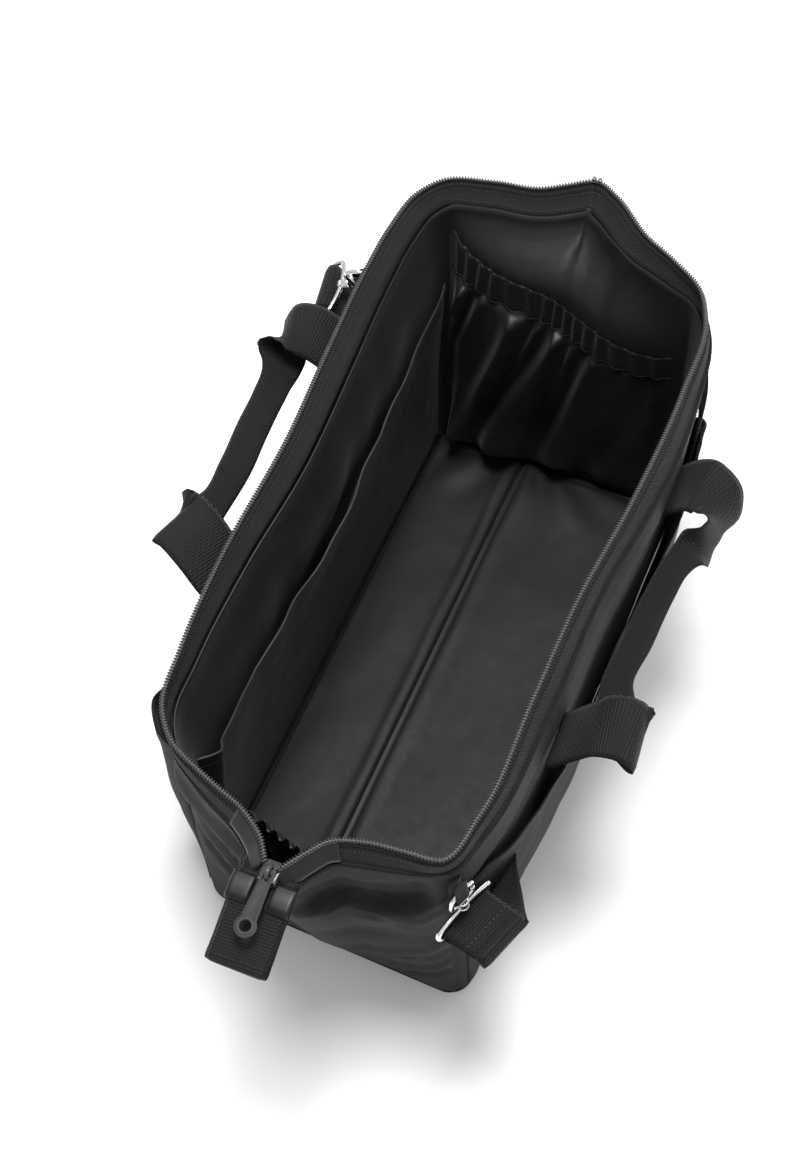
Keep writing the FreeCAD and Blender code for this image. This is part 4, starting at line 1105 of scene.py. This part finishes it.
chain_line = [SLIDER + Vector(offset) for offset in ((3, 0, 2.8), (-6, 0, 2.6), (-15, 0, 2.4))]
chain = spaced(smooth(chain_line, 6), 9)
chain_teeth = beads_object("closed_chain_teeth", chain, np.gradient(chain, axis=0),
                           np.tile([0.0, 0.0, 1.0], (9, 1)), (1.6, 4.6, 2.4), COIL)
settle(chain_teeth, "bag", "zip_coil", "zip_closed_end")
stop = blocks_object("bottom_stop_clamp", [((-1.4, -2.8, 0), (1.4, 2.8, 3.6)),
                                           ((-1.9, -1.4, 0.8), (1.9, 1.4, 3))],
                     STOP_METAL, placed(SLIDER + Vector((-16.8, 0, 1))), 0.5)
settle(stop, "bag", "stop_metal", "zip_bottom_stop")
far_stop = coil_ring[FAR_STATION]
stops = blocks_object("top_stop_clamps",
                      [((-1.7, y - 1.3, -0.4), (1.7, y + 1.3, 3.4)) for y in (-2.3, 2.3)],
                      STOP_METAL, placed(Vector(far_stop)), 0.5)
settle(stops, "bag", "stop_metal", "zip_top_stops")

# Satin facing: a strip up each side of the slider, and a block of it over the tab's root.
for side, sign in (("front", -1), ("back", 1)):
    numbers = (SLIDER_STATION - sign * np.array([2, 4, 7, 10, 13, 16])) % STATIONS
    path = [0.5 * coil_ring[n] + 0.5 * seam_ring[n] for n in numbers]
    lean = [seam_ring[n] - coil_ring[n] for n in numbers]
    lift = [np.array([0, 0, 1.8 - 0.1 * k]) for k in range(len(numbers))]
    strip = ribbon_object(side + "_end_facing",
                          [(p + up, d, 7.2) for p, d, up in zip(path, lean, lift)], 1.4, SATIN, 2)
    settle(strip, "bag", "lining_cloth")
COVER_PATH = [(-15, 2.9), (-13.5, 4.3), (-8, 5.2), (-2, 4.6), (2.5, 3.2)]
for side, middle in (("front", -13.4), ("back", 13.4)):
    block = ribbon_object(side + "_end_cover", [(in_tab(x, middle, z), across, 7.6)
                                                for x, z in COVER_PATH], 1.6, SATIN, 1.2)
    settle(block, "bag", "lining_cloth", *(["zip_end_cover"] if side == "front" else []))


# ---------------------------------------------------------------- handles

HANDLE_HALF = 23
GRIP_HALF = 11.5
HANDLE_STEP = 2.0
# Centre, direction across the webbing, and half width where it isn't the full one.
FRONT_HANDLE = [
    ((-110, -127, 210), (1, 0, 0)), ((-109, -136, 222), (1, 0, 0)),
    ((-107, -147, 234.5), (1, 0, 0)), ((-104, -157, 242.5), (1, 0.02, 0)),
    ((-102, -171, 244), (1, 0.05, 0)), ((-102, -179, 240.5), (1, 0.08, 0)),
    ((-101.5, -181.5, 235), (1, 0.1, 0), 22.5), ((-99, -178.5, 230), (1, 0.25, 0), 21),
    ((-91, -169, 226), (0.85, 0.55, 0), 16), ((-80, -159, 223), (0.4, 0.9, -0.1), 12.5),
    ((-66, -152, 221), (0.1, 1, -0.3), GRIP_HALF), ((-28, -153, 220.5), (0, 1, -0.35), GRIP_HALF),
    ((10, -154.5, 220.5), (0, 1, -0.35), GRIP_HALF), ((32, -157, 221), (-0.1, 1, -0.3), GRIP_HALF),
    ((47, -162, 221), (-0.35, 0.9, -0.1), 13), ((57, -168, 222), (-0.7, 0.6, 0.2), 16.5),
    ((67, -172.5, 225.5), (-0.88, 0.35, 0.2), 20), ((77, -174, 231), (-0.96, 0.2, 0.1)),
    ((85, -169, 237), (-1, 0.1, 0)), ((90, -157, 239.5), (-1, 0.03, 0)),
    ((92, -148, 233.5), (-1, 0, 0)), ((92, -137, 222), (-1, 0, 0)),
    ((92, -128.5, 210), (-1, 0, 0)),
]
BACK_HANDLE = [
    ((-92, 100, 221), (-1, 0, 0)), ((-91, 109, 231), (-1, 0, 0)),
    ((-87, 120, 243), (-1, 0.05, 0)), ((-79, 134, 253), (-1, 0.15, 0)),
    ((-71, 149, 257.5), (-0.97, 0.25, 0)), ((-66, 159, 256), (-0.94, 0.33, 0)),
    ((-64.5, 161.5, 251.5), (-0.94, 0.33, 0), 22.5), ((-61, 158, 246.5), (-0.95, 0.1, -0.1), 20),
    ((-52, 151, 243.5), (-0.75, -0.6, -0.25), 15), ((-40, 148, 241), (-0.3, -0.9, -0.4), GRIP_HALF),
    ((-6, 147, 240), (0, -0.92, -0.39), GRIP_HALF), ((27, 149.5, 240), (0, -0.92, -0.39), GRIP_HALF),
    ((56, 150.5, 240.5), (0.05, -0.9, -0.4), GRIP_HALF), ((70, 151, 241.5), (0.4, -0.7, -0.5), 12.5),
    ((82, 152.5, 243), (0.8, -0.4, -0.3), 16), ((93, 156, 246), (0.97, -0.15, -0.1), 20.5),
    ((101, 159, 251), (1, 0, 0)), ((106, 153, 256), (1, 0, 0)),
    ((109, 142, 255.5), (1, 0, 0)), ((110, 128, 248), (1, 0, 0)),
    ((110, 112, 235), (1, 0, 0)), ((110, 101, 221), (1, 0, 0)),
]
# Each handle's webbing is baked in place, on no body. The webbing is folded
# double, and so twice as thick, where it narrows to the grip.
for name, path, sewn, loose in (
        ("front_handle", FRONT_HANDLE, (0, -0.128, 0.212), (0, -0.179, 0.244)),
        ("back_handle", BACK_HANDLE, (0, 0.102, 0.222), (0, 0.153, 0.258))):
    stations = [(*station, HANDLE_HALF)[:3] for station in path]
    line = smooth([[*centre, *across, half] for centre, across, half in stations], 10)
    half = spaced(line, 200)[:, 6]
    count = max(8, int(lengths(line)[-1] / HANDLE_STEP))
    thickness = np.interp(np.linspace(0, 1, count), np.linspace(0, 1, 200),
                          2.2 + 2.2 * step_up(-half, -18, -12))
    loop = ribbon_object(name + "_webbing", stations, thickness, WEBBING, HANDLE_STEP)
    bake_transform(loop)
    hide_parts(name)


# ---------------------------------------------------------------- strap hooks

def hook_frame(origin, bar, upward):
    """A hook's own (x, y, z) to the bag's, and its axes as the columns of a matrix."""
    bar, upward = unit(np.array(bar)), unit(np.array(upward))
    deep = np.cross(upward, bar)
    turn = np.stack([bar, deep, upward], axis=1)
    return lambda *point: np.array(origin) + turn @ np.array(point, float), turn


NEAR_HOOK = (-237, -114.5, 212)
HOOKS = {
    "near": hook_frame(NEAR_HOOK, (0.9437, -0.3309, 0), (0, 0, 1)),
    "far": hook_frame((170, 147, 233), (0.98491, 0.173065, -0.001263),
                      (0.150376, -0.852133, 0.501255)),
}
# The near claw has swivelled a quarter turn on its ring.
CLAWS = {
    "near": hook_frame(NEAR_HOOK, (0.3309, 0.9437, 0), (0, 0, 1)),
    "far": HOOKS["far"],
}
LOOP_ROOTS = {"near": (-239, -113.5, 252), "far": (178, 101.5, 257)}
RING_HALF = (23.2, 5.2)
for side, (at, turn) in HOOKS.items():
    on_claw, claw_turn = CLAWS[side]
    half_x, half_z = RING_HALF
    ring_line = []
    for sx, sz in ((1, 1), (-1, 1), (-1, -1), (1, -1)):
        bend = [(sx * half_x, sz * (half_z - 4)), (sx * (half_x - 1.2), sz * (half_z - 1.2)),
                (sx * (half_x - 4), sz * half_z)]
        ring_line += bend if sx * sz > 0 else bend[::-1]
    bar = tube_object(side + "_ring_bar", [at(x, 0, z - 7) for x, z in ring_line], 1.8, NICKEL,
                      closed=True, per_span=5)
    settle(bar, side + "_ring", "nickel", side + "_strap_ring")
    stem = tube_object(side + "_ring_stem", [at(0, 0, -1.2), at(0, 0, 1), at(0, 0, 4), at(0, 0, 7.6)],
                       1.55, NICKEL)
    settle(stem, side + "_ring", "nickel")
    collars = [tube_object(f"{side}_barrel_{number}", [at(0, 0, low), at(0, 0, high)], radius, NICKEL)
               for number, (low, high, radius) in enumerate(((1.2, 3.0, 4.1), (2.6, 8.6, 3.7),
                                                             (8.2, 10.4, 4.2)))]
    settle(collars[0], "bag", "nickel", side + "_strap_hook")
    for collar in collars[1:]:
        settle(collar, "bag", "nickel")
    claw_line = [(-9.2, 15.5), (-9.3, 12.4), (-7.2, 10.8), (0, 10.6), (7.2, 10.8), (9.4, 12.8),
                 (9.5, 18), (8, 22.6), (4, 25.4), (0, 26), (-4.4, 25.4), (-8.2, 23.4)]
    claw = tube_object(side + "_claw", [on_claw(0, y, z) for y, z in claw_line], 1.65, NICKEL)
    settle(claw, "bag", "nickel")
    gate = tube_object(side + "_gate_lever", [on_claw(0, -9.6, z) for z in (13.9, 18, 22.3)], 1.05,
                       NICKEL)
    settle(gate, side + "_gate", "nickel", side + "_hook_gate")
    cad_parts[side + "_gate_pin"].data.materials[0] = NICKEL

    root = np.array(LOOP_ROOTS[side], float)
    low = on_claw(0, 1.9, 15.2)
    upward = unit(root - low)
    sideways = unit(claw_turn[:, 0] - upward * (claw_turn[:, 0] @ upward))
    width = np.cross(upward, sideways)
    reach = np.linalg.norm(root - low)
    loop_line = [(2.4, reach), (2.6, reach * 0.55), (2.7, 3.2), (0, 0.6), (-2.7, 3.2),
                 (-2.6, reach * 0.55), (-2.2, reach)]
    loop = ribbon_object(side + "_hook_loop", [(low + sideways * x + upward * z, width, 5.5)
                                               for x, z in loop_line], 1.4, WEBBING, 1.2)
    settle(loop, "bag", "webbing", side + "_hook_tab")

    end_line = [(-27.5, -1.6), (-14, -4.6), (-4, -6.2), (2.2, -7.4), (3.4, -11), (2.4, -15),
                (-3, -15.4), (-10, -10.6), (-18, -6.6), (-27, -4)]
    strap_end = ribbon_object(side + "_strap_webbing",
                              [(at(0, y, z), turn[:, 0], HALF_WEB) for y, z in end_line], 2.0,
                              WEBBING, 1.5)
    settle(strap_end, side + "_ring", "webbing", side + "_strap_end")
    stitch_line = np.array([at(x, -19, -2.2) for x in np.linspace(-17, 17, 12)])
    stitches = stitch_row(side + "_strap_stitches", stitch_line, np.tile(turn[:, 2], (12, 1)), 3)
    settle(stitches, side + "_ring", "webbing")


# ---------------------------------------------------------------- shoulder strap

def on_wall(wall, share, height, gap, tilt=90):
    """Station flat to a wall. tilt 90 runs level round the bag, and 0 runs straight down it."""
    here = shell.at(wall, share, height)
    level = unit(shell.at(wall, share + 0.01, height) - here)
    upward = unit(shell.at(wall, share, height + 2) - here)
    angle = math.radians(tilt)
    across = level * math.cos(angle) + upward * math.sin(angle)
    return shell.at(wall, share, height, gap + 1.1), across, HALF_WEB


def by_hook(side, *point):
    """Station of the strap at a place given from a hook."""
    at, turn = HOOKS[side]
    return at(*point), turn[:, 0], HALF_WEB


strap_stations = [
    by_hook("near", 0, -24, -2.8), by_hook("near", 0, -32, -0.6), by_hook("near", 0, -35, -4),
    by_hook("near", 2, -31, -11), by_hook("near", 10, -20, -24),
    on_wall("front", 0.1, 160, 3, 25), on_wall("front", 0.2, 118, 3.5, 60),
    on_wall("front", 0.35, 88, 4), on_wall("front", 0.65, 88, 4), on_wall("front", 0.77, 112, 4, 110),
    on_wall("front", 0.84, 156, 4, 135), on_wall("front", 0.88, 184, 4, 130),
    on_wall("front", 0.93, 196, 4, 100), on_wall("front", 0.985, 200, 4), on_wall("far", 0.04, 196, 6),
    on_wall("far", 0.25, 160, 6, 75), on_wall("far", 0.5, 140, 6), on_wall("far", 0.75, 150, 6, 100),
    on_wall("far", 0.97, 172, 8, 100), on_wall("back", 0.03, 184, 20, 110),
    on_wall("back", 0.1, 194, 28, 150),
    by_hook("far", 4, -40, -10), by_hook("far", 0, -24, -9.6),
]
same_way = []
for centre, direction, half in strap_stations:
    if same_way and np.dot(direction, same_way[-1][1]) < 0:
        direction = -np.asarray(direction)
    same_way.append((centre, direction, half))
strap = ribbon_object("shoulder_strap_webbing", same_way, 2.2, WEBBING)
settle(strap, "bag", "webbing", "shoulder_strap")


# ---------------------------------------------------------------- camera, light and floor

CAMERA = Vector((-0.6475, -0.3308, 1.3687))
AIM = Vector((0.004, 0.036, 0.13))
ROLL = -0.12987
LENS = 61.4


def add_camera():
    forward = (AIM - CAMERA).normalized()
    right = forward.cross(Vector((0, 0, 1))).normalized()
    up = right.cross(forward)
    rolled_right = math.cos(ROLL) * right + math.sin(ROLL) * up
    rolled_up = -math.sin(ROLL) * right + math.cos(ROLL) * up
    data = bpy.data.cameras.new("view_camera")
    data.sensor_width = 36
    data.lens = LENS
    camera = bpy.data.objects.new("view_camera", data)
    turn = Matrix((rolled_right, rolled_up, -forward)).transposed().to_4x4()
    camera.matrix_world = Matrix.Translation(CAMERA) @ turn
    bpy.context.scene.collection.objects.link(camera)
    bpy.context.scene.camera = camera


def add_light(name, place, aim, size, power):
    data = bpy.data.lights.new(name, "AREA")
    data.shape = "DISK"
    data.size = size
    data.energy = power
    light = bpy.data.objects.new(name, data)
    light.location = place
    light.rotation_mode = "QUATERNION"
    light.rotation_quaternion = (Vector(aim) - Vector(place)).to_track_quat("-Z", "Y")
    bpy.context.scene.collection.objects.link(light)


def add_floor():
    half = 4000
    points = [(x * half, y * half, -0.5) for x, y in ((-1, -1), (1, -1), (1, 1), (-1, 1))]
    paint = Paint("pale_floor")
    shade = paint.ramp(paint.noise(900), ((0.3, 0.92), (0.7, 0.94)))
    paint.link(shade, paint.shader.inputs["Base Color"])
    paint.set(Roughness=0.9)
    floor = mesh_object("pale_floor", points, [(0, 1, 2, 3)], paint.material)


def add_world():
    world = bpy.data.worlds.new("studio")
    world.use_nodes = True
    background = world.node_tree.nodes["Background"]
    background.inputs["Color"].default_value = (1, 1, 1, 1)
    background.inputs["Strength"].default_value = 0.6
    bpy.context.scene.world = world


add_camera()
add_light("top", (0.1, -0.1, 2.4), (0, 0, 0.1), 0.9, 66)
add_light("fill", (-1.4, -1.6, 1.5), (0, 0, 0.15), 1.6, 3)
add_light("rim", (1.6, -0.6, 1.8), (0, 0, 0.15), 1.0, 8)
add_floor()
add_world()
bpy.context.scene.view_settings.view_transform = "Standard"
